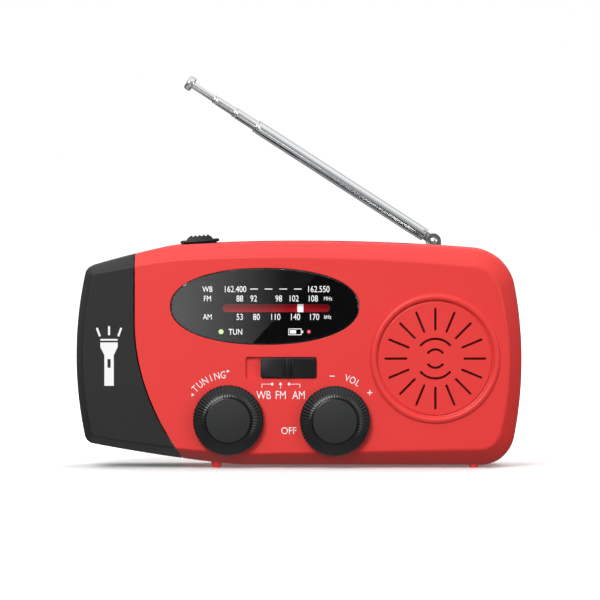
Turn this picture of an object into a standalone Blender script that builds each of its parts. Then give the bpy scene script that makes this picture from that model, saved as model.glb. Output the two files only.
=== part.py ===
"""Hand-crank emergency radio: case, dial, speaker, torch, solar panel, crank generator and antenna.

+Z is up and the front looks towards -Y. The origin is on the base, under the middle of the radio.
Lengths are written in millimetres, and MM turns them into metres where a mesh is made.
"""

import math
from collections import namedtuple

import bmesh
import bpy
from mathutils import Euler, Matrix, Vector

MM = 0.001
GAP = 0.3  # between pieces that touch or slide

# Case, as seen from the front. A corner's chamfer is how far the front face stays inside the outline
# there, and rise is how far the edge to the next corner bulges at its middle.
Corner = namedtuple("Corner", "x z radius chamfer rise turn_steps edge_steps")
CORNERS = [
    Corner(-61.5, 57.8, 3.0, 2.4, 0.3, 3, 3),  # top left
    Corner(-36.0, 64.2, 40.0, 4.2, 1.85, 2, 7),  # where the sloping shoulder meets the arched top
    Corner(59.8, 62.5, 13.0, 5.4, 4.2, 5, 6),  # top right
    Corner(60.2, 0.7, 10.0, 5.0, 0.0, 5, 2),  # bottom right
    Corner(-18.0, 0.8, 60.0, 3.5, 0.5, 2, 3),  # where the flat bottom starts to rise
    Corner(-61.6, 7.3, 3.0, 2.4, 2.9, 3, 5),  # bottom left
]
FRONT_Y = -18.5
REAR_Y = 21.0
SPLIT_Y = 1.0
FACE_WALL = 2.0
SIDE_WALL = 3.2
# Depth behind the face, and the share of the chamfer that is left there.
CHAMFER_STEPS = [(0.0, 1.0), (0.4, 0.86), (2.5, 0.42), (5.0, 0.12), (8.0, 0.0)]
SEAM_TOP_X = -47.6  # seam between the end cap and the red shells, straight above SEAM_BEND_Z
SEAM_BEND_Z = 42.0
SEAM_CURVE = 0.009
SEAM_GAP = 0.46
FOOT_X = [-23.9, 50.3]
FOOT_Y = [-11.0, 11.0]
FOOT_HALF = (1.2, 2.0)  # half width at the ground and at the case
FOOT_LENGTH = 5.0
SCREW_PLACES = [(-30.5, 7.5), (-21.5, 57.0), (52.0, 53.0), (52.0, 10.0)]
BOSS_R = 2.8
SCREW_R = 1.1
SCREW_HEAD_R = 2.4
SCREW_TIP_Y = -5.0
SCREW_HEAD_Y = 17.3

# Dial
DIAL_X, DIAL_Z = -10.0, 46.6
DIAL_HALF_W, DIAL_HALF_H = 27.2, 11.05
SLOT_X = (-22.2, 8.8)
SLOT_Z = 46.1
SLOT_HALF_H = 1.15
POINTER_X = 0.26
POINTER_HALF_W = 0.85
INDICATORS = {"tuning_led": -22.6, "charge_led": 2.7}
INDICATOR_Z = 39.3

# Controls
TUNING_X, TUNING_Z = -20.5, 13.9
VOLUME_X, VOLUME_Z = 10.2, 13.7
KNOB_R = 10.2
KNOB_FACE_R = 6.5
KNOB_FACE_Y = -23.0
KNOB_RIBS = 18
SHAFT_R = 1.5
BAND_SLOT_X = (-15.5, 5.0)
BAND_SLOT_Z = (25.8, 32.1)
BAND_SLOT_DEPTH = 1.2
BAND_SLIDER_X = (-11.2, 4.7)
BAND_TRAVEL = 4.1
BUTTON_X, BUTTON_Y, BUTTON_Z = -28.8, -5.0, 64.55
BUTTON_LEAN = -4.0  # degrees about +Y: the top falls towards the left here

# Tuning train. All its wheels lie in one layer behind the front wall.
TUNE_MODULE = 0.8
PINION_TEETH = 12
CAPACITOR_TEETH = 23
CAPACITOR_X, CAPACITOR_Z = -24.55, 27.3
TRAIN_Y = (-15.2, -13.9)
RACK_SPAN = (-32.5, -3.7)  # along X, from the pointer's place

# Speaker
SPEAKER_X, SPEAKER_Z = 39.1, 31.6
GRILLE_SLOTS = 16
SPOKE_R = (8.1, 14.6)
GRILLE_ARCS = [(5.7, 40), (2.65, 33)]  # radius, and the angle where the upper arc starts
SLOT_HALF_W = 0.35
GRILLE_RING_R = (16.8, 18.7)

# Crank and its gear train, at the back
CRANK_X, CRANK_Z = 6.0, 31.0
RECESS_R = 26.6
RECESS_FLOOR_Y = 13.2
RECESS_WALL = 1.6
CRANK_REACH = 23.0
CRANK_GRIP_Y = 17.2
CRANK_TOP_Y = 23.0
GEAR_MODULE = 0.72
DRIVE_TEETH, IDLER_1_TEETH, IDLER_2_TEETH, SMALL_TEETH = 40, 34, 30, 10
IDLER_1_ANGLE, IDLER_2_ANGLE, ROTOR_ANGLE = -35.0, 60.0, 100.0
LAYER_A, LAYER_B, LAYER_C = (9.8, 11.3), (7.2, 8.7), (4.6, 6.1)
PLATE_Y = (2.6, 3.6)

# Antenna
ANTENNA_X, ANTENNA_Y, ANTENNA_Z = 39.2, 15.6, 65.1
ANTENNA_RAISED = 32.9  # degrees above level, leaning left
LEDGE_Y, LEDGE_Z = 11.4, 60.4
TUBE_SIDES = 16

# Torch, in the left end
TORCH_Y, TORCH_Z = 1.2, 33.0
TORCH_R = 11.0

# Ports, behind the cover on the right of the back
PORT_X = (42.7, 56.3)
PORT_Z = (21.0, 42.0)
PORT_DEPTH = 1.2
PORT_COVER_HALF = 0.45  # half the thickness of the cover

RED = ("red_plastic", (0.73, 0.05, 0.045), 0.45, 0.0)
BLACK = ("black_plastic", (0.022, 0.022, 0.024), 0.5, 0.0)
CLEAR = ("clear_plastic", (0.8, 0.82, 0.85), 0.08, 0.0)
WHITE = ("white_plastic", (0.8, 0.8, 0.78), 0.4, 0.0)
NYLON = ("nylon", (0.75, 0.74, 0.68), 0.5, 0.0)
CHROME = ("chrome", (0.75, 0.75, 0.76), 0.15, 1.0)
STEEL = ("steel", (0.45, 0.45, 0.46), 0.35, 1.0)
COPPER = ("copper", (0.55, 0.22, 0.08), 0.4, 1.0)
FERRITE = ("ferrite", (0.04, 0.04, 0.045), 0.6, 0.0)
BOARD = ("circuit_board", (0.02, 0.16, 0.06), 0.5, 0.0)
PAPER = ("cone_paper", (0.05, 0.045, 0.04), 0.9, 0.0)
SOLAR = ("solar_cells", (0.015, 0.02, 0.06), 0.2, 0.0)
CELL = ("cell_wrap", (0.1, 0.25, 0.55), 0.35, 0.0)
RUBBER = ("rubber", (0.03, 0.03, 0.03), 0.8, 0.0)
GREEN = ("green_lamp", (0.1, 0.7, 0.15), 0.2, 0.0)
RED_LAMP = ("red_lamp", (0.8, 0.05, 0.03), 0.2, 0.0)


# ---- meshes, in millimetres ----


def solid(bm):
    """Turns every face of a closed mesh outwards."""
    bmesh.ops.recalc_face_normals(bm, faces=bm.faces)
    return bm


def loft(rings):
    """A solid through rings of equally many points, closed by a flat face at each end."""
    bm = bmesh.new()
    rows = [[bm.verts.new(p) for p in ring] for ring in rings]
    for near, far in zip(rows, rows[1:]):
        for i in range(len(near)):
            j = (i + 1) % len(near)
            bm.faces.new((near[i], near[j], far[j], far[i]))
    bm.faces.new(rows[0])
    bm.faces.new(rows[-1])
    return solid(bm)


def prism(outline, y0, y1):
    """An outline in the XZ plane, extruded from y0 to y1."""
    return loft([[(x, y, z) for x, z in outline] for y in (y0, y1)])


def box(x0, x1, y0, y1, z0, z1):
    return prism([(x0, z0), (x1, z0), (x1, z1), (x0, z1)], y0, y1)


def turn(profile, steps=32, centre=(0.0, 0.0), ribs=()):
    """A solid of revolution about Y from (radius, y) points. A profile that never meets the axis is a ring.

    ribs gives, for each profile point, how much every other point of its circle stands in.
    """
    bm = bmesh.new()
    rows = []
    for k, (radius, y) in enumerate(profile):
        if radius == 0:
            rows.append([bm.verts.new((centre[0], y, centre[1]))])
            continue
        row = []
        for i in range(steps):
            angle = math.tau * i / steps
            r = radius - (ribs[k] if ribs and i % 2 else 0.0)
            x = centre[0] + r * math.cos(angle)
            z = centre[1] + r * math.sin(angle)
            row.append(bm.verts.new((x, y, z)))
        rows.append(row)
    ring = len(rows[0]) > 1 and len(rows[-1]) > 1
    pairs = list(zip(rows, rows[1:])) + ([(rows[-1], rows[0])] if ring else [])
    for near, far in pairs:
        for i in range(steps):
            j = (i + 1) % steps
            corners = [near[i % len(near)], near[j % len(near)], far[j % len(far)], far[i % len(far)]]
            corners = list(dict.fromkeys(corners))
            if len(corners) > 2:
                bm.faces.new(corners)
    return solid(bm)


def cylinder(radius, y0, y1, centre=(0.0, 0.0), steps=24):
    return turn([(0, y0), (radius, y0), (radius, y1), (0, y1)], steps, centre)


def tube(outer, inner, y0, y1, centre=(0.0, 0.0), steps=24):
    return turn([(inner, y0), (outer, y0), (outer, y1), (inner, y1)], steps, centre)


def moved(bm, matrix):
    bmesh.ops.transform(bm, matrix=matrix, verts=bm.verts)
    return bm


def stood_up(bm, at=(0, 0, 0)):
    """Turns what was made along +Y to run along +Z, then moves it."""
    return moved(bm, Matrix.Translation(at) @ Matrix.Rotation(math.pi / 2, 4, "X"))


def laid_over(bm, at=(0, 0, 0)):
    """Turns what was made along +Y to run along +X, then moves it."""
    return moved(bm, Matrix.Translation(at) @ Matrix.Rotation(-math.pi / 2, 4, "Z"))


def together(*parts):
    """Several closed bodies in one mesh, for a cutter or a join."""
    whole = bmesh.new()
    for bm in parts:
        mesh = bpy.data.meshes.new("part")
        bm.to_mesh(mesh)
        bm.free()
        whole.from_mesh(mesh)
        bpy.data.meshes.remove(mesh)
    return whole


# ---- objects ----


def material(finish):
    name, colour, roughness, metallic = finish
    made = bpy.data.materials.new(name)
    made.use_nodes = True
    shader = made.node_tree.nodes["Principled BSDF"]
    shader.inputs["Base Color"].default_value = (*colour, 1.0)
    shader.inputs["Roughness"].default_value = roughness
    shader.inputs["Metallic"].default_value = metallic
    made.diffuse_color = (*colour, 1.0)
    return made


def piece(name, bm, finish, at=(0, 0, 0), lean=(0, 0, 0)):
    """One named part. at is its origin, which lies on the joint's axis where the part moves."""
    bmesh.ops.scale(bm, vec=(MM, MM, MM), verts=bm.verts)
    mesh = bpy.data.meshes.new(name)
    bm.to_mesh(mesh)
    bm.free()
    obj = bpy.data.objects.new(name, mesh)
    bpy.context.scene.collection.objects.link(obj)
    obj.location = Vector(at) * MM
    obj.rotation_euler = Euler([math.radians(a) for a in lean])
    if finish:
        mesh.materials.append(material(finish))
        mesh.shade_smooth()
        mesh.set_sharp_from_angle(angle=math.radians(35))
    return obj


def helper(name, bm, at=(0, 0, 0), lean=(0, 0, 0)):
    """A hidden solid that a Boolean uses."""
    obj = piece(name, bm, None, at, lean)
    obj.hide_render = True
    obj.display_type = "WIRE"
    return obj


def combine(obj, tool, operation):
    modifier = obj.modifiers.new(f"{operation.lower()} {tool.name}", "BOOLEAN")
    modifier.operation = operation
    modifier.object = tool
    modifier.solver = "EXACT"


def cut(obj, name, *shapes):
    tool = helper(f"{obj.name}_{name}", together(*shapes), obj_place(obj), obj_lean(obj))
    combine(obj, tool, "DIFFERENCE")


def join(obj, name, *shapes):
    for i, shape in enumerate(shapes):
        tool = helper(f"{obj.name}_{name}_{i}", shape, obj_place(obj), obj_lean(obj))
        combine(obj, tool, "UNION")


def obj_place(obj):
    return obj.location / MM


def obj_lean(obj):
    return [math.degrees(a) for a in obj.rotation_euler]


# ---- case ----


def bulged(a, b, rise, t):
    """The point at t on the arc from a to b, which stands out by rise at its middle."""
    side = Vector((a.y - b.y, b.x - a.x)).normalized()
    return a.lerp(b, t) + side * (4 * rise * t * (1 - t))


def case_outline(chamfer_share=0.0, wall=0.0):
    """The case's outline in the XZ plane, drawn in by a share of each corner's chamfer and by a wall."""
    sharp = [Vector((c.x, c.z)) for c in CORNERS]
    count = len(CORNERS)

    def direction(i, t):
        a, b, rise = sharp[i], sharp[(i + 1) % count], CORNERS[i].rise
        side = Vector((a.y - b.y, b.x - a.x)).normalized()
        return (b - a + side * (4 * rise * (1 - 2 * t))).normalized()

    inner, radii, turns = [], [], []
    for i, corner in enumerate(CORNERS):
        arriving, leaving = direction(i - 1, 1), direction(i, 0)
        inward_1 = Vector((arriving.y, -arriving.x))
        inward_2 = Vector((leaving.y, -leaving.x))
        inset = corner.chamfer * chamfer_share + wall
        inner.append(sharp[i] + (inward_1 + inward_2) * (inset / (1 + inward_1.dot(inward_2))))
        radii.append(max(corner.radius - 0.9 * inset, 0.25 * corner.radius, 0.6))
        turns.append(arriving.angle(leaving))

    sharp, points = inner, []
    for i, corner in enumerate(CORNERS):
        before, here, after = sharp[i - 1], sharp[i], sharp[(i + 1) % count]
        setback = radii[i] * math.tan(turns[i] / 2)
        start = bulged(before, here, CORNERS[i - 1].rise, 1 - setback / (here - before).length)
        end = bulged(here, after, corner.rise, setback / (after - here).length)
        handle = 4 / 3 * math.tan(turns[i] / 4) * radii[i]
        first, last = start + direction(i - 1, 1) * handle, end - direction(i, 0) * handle
        for k in range(corner.turn_steps + 1):
            t = k / corner.turn_steps
            u = 1 - t
            points.append(start * u**3 + first * (3 * t * u * u) + last * (3 * t * t * u) + end * t**3)
        next_i = (i + 1) % count
        next_setback = radii[next_i] * math.tan(turns[next_i] / 2)
        t0 = setback / (after - here).length
        t1 = 1 - next_setback / (after - here).length
        for k in range(1, corner.edge_steps):
            points.append(bulged(here, after, corner.rise, t0 + (t1 - t0) * k / corner.edge_steps))
    return points


def ring_at(y, chamfer_share, wall=0.0):
    return [(p.x, y, p.y) for p in case_outline(chamfer_share, wall)]


def front_rings():
    return [ring_at(FRONT_Y + depth, share) for depth, share in CHAMFER_STEPS]


def rear_rings():
    return [ring_at(REAR_Y - depth, share) for depth, share in reversed(CHAMFER_STEPS)]


def front_hollow_rings(end_y):
    y = FRONT_Y + FACE_WALL
    return [
        ring_at(y, 0.75, SIDE_WALL),
        ring_at(y + 2.0, 0.3, SIDE_WALL),
        ring_at(y + 6.0, 0.0, SIDE_WALL),
        ring_at(end_y, 0.0, SIDE_WALL),
    ]


def rear_hollow_rings(start_y):
    y = REAR_Y - FACE_WALL
    return [
        ring_at(start_y, 0.0, SIDE_WALL),
        ring_at(y - 6.0, 0.0, SIDE_WALL),
        ring_at(y - 2.0, 0.3, SIDE_WALL),
        ring_at(y, 0.75, SIDE_WALL),
    ]


def seam_side(shift, far_x):
    """A slab on one side of the seam, from the seam moved by shift along X out to far_x."""
    heights = [-5.0, 3.0, 9.0, 15.0, 21.0, 27.0, 33.0, SEAM_BEND_Z, 75.0]
    seam = [(SEAM_TOP_X + shift + SEAM_CURVE * max(SEAM_BEND_Z - z, 0) ** 2, z) for z in heights]
    return prism(seam + [(far_x, heights[-1]), (far_x, heights[0])], -40.0, 40.0)


def foot(x, y):
    near, far = y - FOOT_LENGTH / 2, y + FOOT_LENGTH / 2
    low, high = FOOT_HALF
    return prism([(x - low, 0.0), (x + low, 0.0), (x + high, 3.0), (x - high, 3.0)], near, far)


def arc_outline(centre, radius, first, last, half_width):
    """A band round part of a circle, from one angle to another in degrees."""
    steps = 8
    angles = [math.radians(first + (last - first) * k / steps) for k in range(steps + 1)]
    sides = []
    for r in (radius + half_width, radius - half_width):
        sides.append([(centre[0] + r * math.cos(a), centre[1] + r * math.sin(a)) for a in angles])
    return sides[0] + sides[1][::-1]


def grille_slots():
    """Through slots of the grille: spokes round the outside, and arcs above and below the middle."""
    slots = []
    centre = (SPEAKER_X, SPEAKER_Z)
    y0, y1 = FRONT_Y - 2, FRONT_Y + FACE_WALL + 2
    for i in range(GRILLE_SLOTS):
        spoke = box(*SPOKE_R, y0, y1, -SLOT_HALF_W, SLOT_HALF_W)
        spin = Matrix.Rotation(math.tau * i / GRILLE_SLOTS, 4, "Y")
        slots.append(moved(spoke, Matrix.Translation((SPEAKER_X, 0, SPEAKER_Z)) @ spin))
    for radius, first in GRILLE_ARCS:
        for side in (0, 180):
            outline = arc_outline(centre, radius, side + first, side + 180 - first, SLOT_HALF_W)
            slots.append(prism(outline, y0, y1))
    return slots


def ellipse(half_w, half_h, steps=40, power=2.2):
    """A slightly squared ellipse round the dial's middle."""
    points = []
    for i in range(steps):
        c, s = math.cos(math.tau * i / steps), math.sin(math.tau * i / steps)
        x = math.copysign(abs(c) ** (2 / power), c)
        z = math.copysign(abs(s) ** (2 / power), s)
        points.append((DIAL_X + half_w * x, DIAL_Z + half_h * z))
    return points


def bosses(y0, y1):
    return [cylinder(BOSS_R, y0, y1, place, 12) for place in SCREW_PLACES]


def screw_holes(y0, y1, radius=SCREW_R + GAP):
    return [cylinder(radius, y0, y1, place, 12) for place in SCREW_PLACES]


def button_hole():
    """The opening in the top for the button's bezel."""
    lean = Matrix.Rotation(math.radians(BUTTON_LEAN), 4, "Y")
    place = Matrix.Translation((BUTTON_X, BUTTON_Y, BUTTON_Z))
    return moved(box(-5.1, 5.1, -4.0, 4.0, -6.0, 3.0), place @ lean)


def solar_pocket():
    return box(-20.3, 32.3, -8.3, 10.0, 63.0, 70.0)


def front_shell():
    shell = piece("front_shell", loft(front_rings() + [ring_at(SPLIT_Y - GAP / 2, 0.0)]), RED)
    inner_r, outer_r = GRILLE_RING_R
    ring = tube(outer_r, inner_r, FRONT_Y - 0.5, FRONT_Y + 1.0, (SPEAKER_X, SPEAKER_Z), 32)
    join(shell, "trim", ring, *[foot(x, FOOT_Y[0]) for x in FOOT_X])
    hollow = helper("front_hollow", loft(front_hollow_rings(SPLIT_Y + 2)))
    combine(hollow, helper("front_bosses", together(*bosses(-20.0, 8.0))), "DIFFERENCE")
    combine(shell, hollow, "DIFFERENCE")
    cut(shell, "seam", seam_side(SEAM_GAP / 2, -90.0))
    window = prism(ellipse(DIAL_HALF_W, DIAL_HALF_H), -25.0, -10.0)
    plates = prism(ellipse(DIAL_HALF_W + 1.6, DIAL_HALF_H + 1.5), FRONT_Y + 1.7, -10.0)
    cut(shell, "dial", window)
    cut(shell, "dial_seat", plates)
    pocket = box(*BAND_SLOT_X, -25.0, FRONT_Y + BAND_SLOT_DEPTH, *BAND_SLOT_Z)
    cut(shell, "band_pocket", pocket)
    stem_x = (BAND_SLIDER_X[0] + BAND_SLIDER_X[1]) / 2
    stem_slot = box(stem_x - 1.5 - BAND_TRAVEL, stem_x + 1.5, -25.0, -10.0, 27.8, 30.1)
    cut(
        shell,
        "holes",
        stem_slot,
        cylinder(SHAFT_R + GAP, -25.0, -10.0, (TUNING_X, TUNING_Z), 16),
        cylinder(SHAFT_R + GAP, -25.0, -10.0, (VOLUME_X, VOLUME_Z), 16),
        *screw_holes(SCREW_TIP_Y - 1.0, 10.0),
        button_hole(),
        solar_pocket(),
    )
    cut(shell, "grille", *grille_slots())


def rear_shell():
    shell = piece("rear_shell", loft([ring_at(SPLIT_Y + GAP / 2, 0.0)] + rear_rings()), RED)
    cut(shell, "ledge", box(-80.0, 80.0, LEDGE_Y, 40.0, LEDGE_Z, 80.0))
    join(shell, "trim", *[foot(x, FOOT_Y[1]) for x in FOOT_X])
    hollow = helper("rear_hollow", loft(rear_hollow_rings(SPLIT_Y - 2)))
    centre = (CRANK_X, CRANK_Z)
    kept = [
        cylinder(RECESS_R + RECESS_WALL, RECESS_FLOOR_Y - RECESS_WALL, 30.0, centre, 32),
        box(-70.0, 70.0, LEDGE_Y - 1.9, 30.0, LEDGE_Z - 1.9, 80.0),
        box(PORT_X[0] - 1.5, PORT_X[1] + 0.8, REAR_Y - 3.0, 30.0, PORT_Z[0] - 1.5, PORT_Z[1] + 1.5),
    ]
    for i, shape in enumerate([*kept, together(*bosses(-8.0, 26.0))]):
        combine(hollow, helper(f"rear_kept_{i}", shape), "DIFFERENCE")
    combine(shell, hollow, "DIFFERENCE")
    cut(shell, "seam", seam_side(SEAM_GAP / 2, -90.0))
    cut(shell, "recess", cylinder(RECESS_R, RECESS_FLOOR_Y, 30.0, centre, 40))
    cut(shell, "port", box(*PORT_X, REAR_Y - PORT_DEPTH, 30.0, *PORT_Z))
    cut(
        shell,
        "holes",
        cylinder(3.0, 8.0, 16.0, centre, 24),
        stood_up(cylinder(2.9, 50.0, 70.0), (ANTENNA_X, ANTENNA_Y, 0)),
        *[box(x0, x1, 10.0, 30.0, z0, z1) for x0, x1, z0, z1 in port_openings()],
        *screw_holes(-8.0, 30.0),
        solar_pocket(),
    )
    cut(shell, "screw_heads", *screw_holes(SCREW_HEAD_Y - GAP, 30.0, SCREW_HEAD_R + GAP))


def end_cap():
    rings = front_rings() + rear_rings()
    cap = piece("end_cap", loft(rings), BLACK)
    hollow = loft(front_hollow_rings(0.0)[:3] + rear_hollow_rings(0.0)[1:])
    cut(cap, "hollow", hollow)
    cut(cap, "seam", seam_side(-SEAM_GAP / 2, 90.0))
    opening = cylinder(TORCH_R + GAP, -80.0, -55.0, steps=32)
    cut(cap, "torch", laid_over(opening, (0, TORCH_Y, TORCH_Z)))


def case_screws():
    for i, (x, z) in enumerate(SCREW_PLACES):
        profile = [
            (0, SCREW_TIP_Y),
            (SCREW_R, SCREW_TIP_Y + 1.0),
            (SCREW_R, SCREW_HEAD_Y),
            (SCREW_HEAD_R, SCREW_HEAD_Y),
            (SCREW_HEAD_R - 0.5, SCREW_HEAD_Y + 1.5),
            (0, SCREW_HEAD_Y + 1.6),
        ]
        screw = piece(f"case_screw_{i + 1}", turn(profile, 12, (x, z)), STEEL)
        top = SCREW_HEAD_Y + 1.0
        cut(screw, "drive", box(x - 1.3, x + 1.3, top, top + 3, z - 0.3, z + 0.3))


# ---- dial and tuning ----


def gear(teeth, module, y0, y1, centre, tooth_angle):
    """A spur gear with one tooth pointing at tooth_angle, in degrees from +X towards +Z."""
    pitch_r = teeth * module / 2
    step = math.tau / teeth
    outline = []
    for i in range(teeth):
        middle = math.radians(tooth_angle) + i * step
        for radius, share in (
            (pitch_r - 1.2 * module, -0.27),
            (pitch_r + 0.75 * module, -0.1),
            (pitch_r + 0.75 * module, 0.1),
            (pitch_r - 1.2 * module, 0.27),
        ):
            angle = middle + share * step
            x = centre[0] + radius * math.cos(angle)
            z = centre[1] + radius * math.sin(angle)
            outline.append((x, z))
    return prism(outline, y0, y1)


def heading(start, end):
    """The angle in degrees from one place to another."""
    return math.degrees(math.atan2(end[1] - start[1], end[0] - start[0]))


def meshing_angle(start, end, teeth):
    """Where a gear at end has a tooth when a tooth of the gear at start points straight at it."""
    return heading(end, start) + 180 / teeth


def dial():
    lens = prism(ellipse(DIAL_HALF_W - GAP, DIAL_HALF_H - GAP), FRONT_Y + 0.1, FRONT_Y + 1.3)
    piece("dial_lens", lens, CLEAR)
    plate = prism(ellipse(DIAL_HALF_W + 1.2, DIAL_HALF_H + 1.1), -16.6, -15.7)
    mask = piece("dial_mask", plate, BLACK)
    cut(mask, "slot", box(*SLOT_X, -20.0, -10.0, SLOT_Z - SLOT_HALF_H, SLOT_Z + SLOT_HALF_H))
    lamps = [cylinder(0.75, -20.0, -10.0, (x, INDICATOR_Z), 12) for x in INDICATORS.values()]
    cut(mask, "lamps", *lamps)
    piece("dial_backplate", box(-26.0, 12.0, -13.4, -12.8, 43.5, 49.0), RED)
    for name, x in INDICATORS.items():
        profile = [(0, -16.8), (0.4, -16.7), (0.5, -16.4), (0.5, -15.5), (0, -15.5)]
        lamp = turn(profile, 12, (x, INDICATOR_Z))
        piece(name, lamp, GREEN if name == "tuning_led" else RED_LAMP)


def tuning_train():
    knob_place, capacitor_place = (TUNING_X, TUNING_Z), (CAPACITOR_X, CAPACITOR_Z)
    to_capacitor = heading(knob_place, capacitor_place)
    pinion = gear(PINION_TEETH, TUNE_MODULE, *TRAIN_Y, (0, 0), to_capacitor)
    arbor = piece("tuning_pinion", pinion, NYLON, (TUNING_X, 0, TUNING_Z))
    join(arbor, "shaft", cylinder(SHAFT_R, KNOB_FACE_Y + 1.7, TRAIN_Y[1] + 0.4, steps=16))
    knob("tuning_knob", knob_place)

    tooth = meshing_angle(knob_place, capacitor_place, CAPACITOR_TEETH)
    wheel = piece(
        "capacitor_gear",
        gear(CAPACITOR_TEETH, TUNE_MODULE, *TRAIN_Y, (0, 0), tooth),
        NYLON,
        (CAPACITOR_X, 0, CAPACITOR_Z),
    )
    join(wheel, "hub", cylinder(2.6, TRAIN_Y[0] + 0.5, TRAIN_Y[1] + 3.5, steps=16))

    # The capacitor is on the back of the board, and the gear's hub reaches into it.
    x, z = capacitor_place
    capacitor = piece("tuning_capacitor", box(x - 8, x + 8, -10.5, -3.5, z - 8, z + 8), WHITE)
    cut(capacitor, "bore", cylinder(2.9, -15.0, -9.0, capacitor_place, 16))

    pointer(tooth)


def pointer(gear_tooth):
    """The carriage: a rack along the top of the capacitor's gear, with the pointer standing on it."""
    pitch = math.pi * TUNE_MODULE
    line_z = CAPACITOR_Z + CAPACITOR_TEETH * TUNE_MODULE / 2
    step = 360 / CAPACITOR_TEETH
    past_top = (gear_tooth - 90 + step / 2) % step - step / 2
    gap_x = CAPACITOR_X - math.radians(past_top) * CAPACITOR_TEETH * TUNE_MODULE / 2
    left, right = POINTER_X + RACK_SPAN[0], POINTER_X + RACK_SPAN[1]
    root_z, tip_z, top_z = line_z + 1.2 * TUNE_MODULE, line_z - 0.75 * TUNE_MODULE, line_z + 4.1
    outline = [(left, top_z), (left, root_z)]
    first = math.ceil((left + pitch / 2 - gap_x) / pitch - 0.5)
    last = math.floor((right - pitch / 2 - gap_x) / pitch - 0.5)
    for k in range(first, last + 1):
        middle = gap_x + (k + 0.5) * pitch
        outline.append((middle - 0.27 * pitch, root_z))
        outline.append((middle - 0.1 * pitch, tip_z))
        outline.append((middle + 0.1 * pitch, tip_z))
        outline.append((middle + 0.27 * pitch, root_z))
    outline += [(right, root_z), (right, top_z - 2.0)]
    outline += [(POINTER_X + POINTER_HALF_W, top_z - 2.0), (POINTER_X + POINTER_HALF_W, SLOT_Z + 1.9)]
    outline += [(POINTER_X - POINTER_HALF_W, SLOT_Z + 1.9), (POINTER_X - POINTER_HALF_W, top_z)]
    piece("dial_pointer", prism(outline, TRAIN_Y[0], TRAIN_Y[1]), WHITE)


def knob(name, place):
    profile = [
        (0, KNOB_FACE_Y + 1.4),
        (SHAFT_R + GAP, KNOB_FACE_Y + 1.4),
        (SHAFT_R + GAP, FRONT_Y - GAP),
        (KNOB_R - 0.3, FRONT_Y - GAP),
        (KNOB_R, FRONT_Y - 0.8),
        (KNOB_R, FRONT_Y - 2.7),
        (KNOB_R - 1.1, KNOB_FACE_Y + 0.6),
        (KNOB_FACE_R + 0.2, KNOB_FACE_Y + 0.15),
        (KNOB_FACE_R - 0.1, KNOB_FACE_Y),
        (0, KNOB_FACE_Y),
    ]
    ribs = [0, 0, 0, 0, 0.35, 0.35, 0.35, 0, 0, 0]
    piece(name, turn(profile, 2 * KNOB_RIBS, ribs=ribs), BLACK, (place[0], 0, place[1]))


def volume():
    place = (VOLUME_X, VOLUME_Z)
    knob("volume_knob", place)
    shaft = cylinder(SHAFT_R, KNOB_FACE_Y + 1.7, -14.4, steps=16)
    piece("volume_shaft", shaft, STEEL, (VOLUME_X, 0, VOLUME_Z))
    pot = piece("volume_pot", cylinder(6.4, -15.8, -12.8, place, 24), STEEL)
    cut(pot, "bore", cylinder(SHAFT_R + GAP, -20.0, -14.1, place, 16))


def band_selector():
    x0, x1 = BAND_SLIDER_X
    middle = (x0 + x1) / 2
    low, high = BAND_SLOT_Z[0] + GAP, BAND_SLOT_Z[1] - GAP
    floor = FRONT_Y + BAND_SLOT_DEPTH
    slider = piece("band_slider", box(x0, x1, FRONT_Y - 0.3, floor - GAP, low, high), BLACK)
    join(
        slider,
        "grip",
        box(middle - 0.5, middle + 0.5, FRONT_Y - 1.3, FRONT_Y, low + 0.2, high - 0.2),
        box(middle - 1.2, middle + 1.2, FRONT_Y, -14.8, 28.1, 29.8),
    )
    body = piece("band_switch", box(-13.0, 6.0, -15.9, -12.8, 25.5, 32.4), STEEL)
    cut(body, "slot", box(middle - 1.5 - BAND_TRAVEL, middle + 1.5, -20.0, -14.5, 27.8, 30.1))


def torch_button():
    place, lean = (BUTTON_X, BUTTON_Y, BUTTON_Z), (0, BUTTON_LEAN, 0)
    bezel = piece("button_bezel", box(-5.6, 5.6, -4.5, 4.5, 0.3, 1.2), BLACK, place, lean)
    join(bezel, "neck", box(-4.8, 4.8, -3.7, 3.7, -3.4, 0.6))
    cut(bezel, "bore", box(-4.0, 4.0, -2.9, 2.9, -6.0, 3.0))
    button = piece("torch_button", box(-3.7, 3.7, -2.6, 2.6, -3.2, 1.8), BLACK, place, lean)
    join(button, "rib", box(-1.9, 1.9, -1.0, 1.0, 1.0, 2.3))
    piece("torch_switch", box(-3.0, 3.0, -5.5, 3.0, -8.2, -4.8), BLACK, place, lean)


def main_board():
    corners = [
        (-41.0, 11.5), (-24.0, 6.5), (19.8, 6.5), (19.8, 57.0), (-18.0, 57.0), (-18.0, 53.5), (-41.0, 53.5),
    ]  # fmt: skip
    board = piece("main_board", prism(corners, -12.4, -10.8), BOARD)
    cut(
        board,
        "holes",
        cylinder(2.9, -20.0, 0.0, (CAPACITOR_X, CAPACITOR_Z), 16),
        cylinder(BOSS_R + GAP, -20.0, 0.0, SCREW_PLACES[0], 12),
    )


def radio_coil():
    place = (-1.0, -4.0, 55.5)
    piece("ferrite_rod", laid_over(cylinder(2.4, -15.5, 16.0, steps=16), place), FERRITE)
    piece("antenna_coil", laid_over(tube(3.3, 2.7, -7.0, 7.0, steps=16), place), COPPER)


def battery():
    profile = [(0, 13.0), (7.0, 13.0), (7.0, 55.0), (2.6, 55.0), (2.6, 56.0), (0, 56.0)]
    piece("battery_cell", stood_up(turn(profile, 24), (-33.5, 9.2, 0)), CELL)


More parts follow.
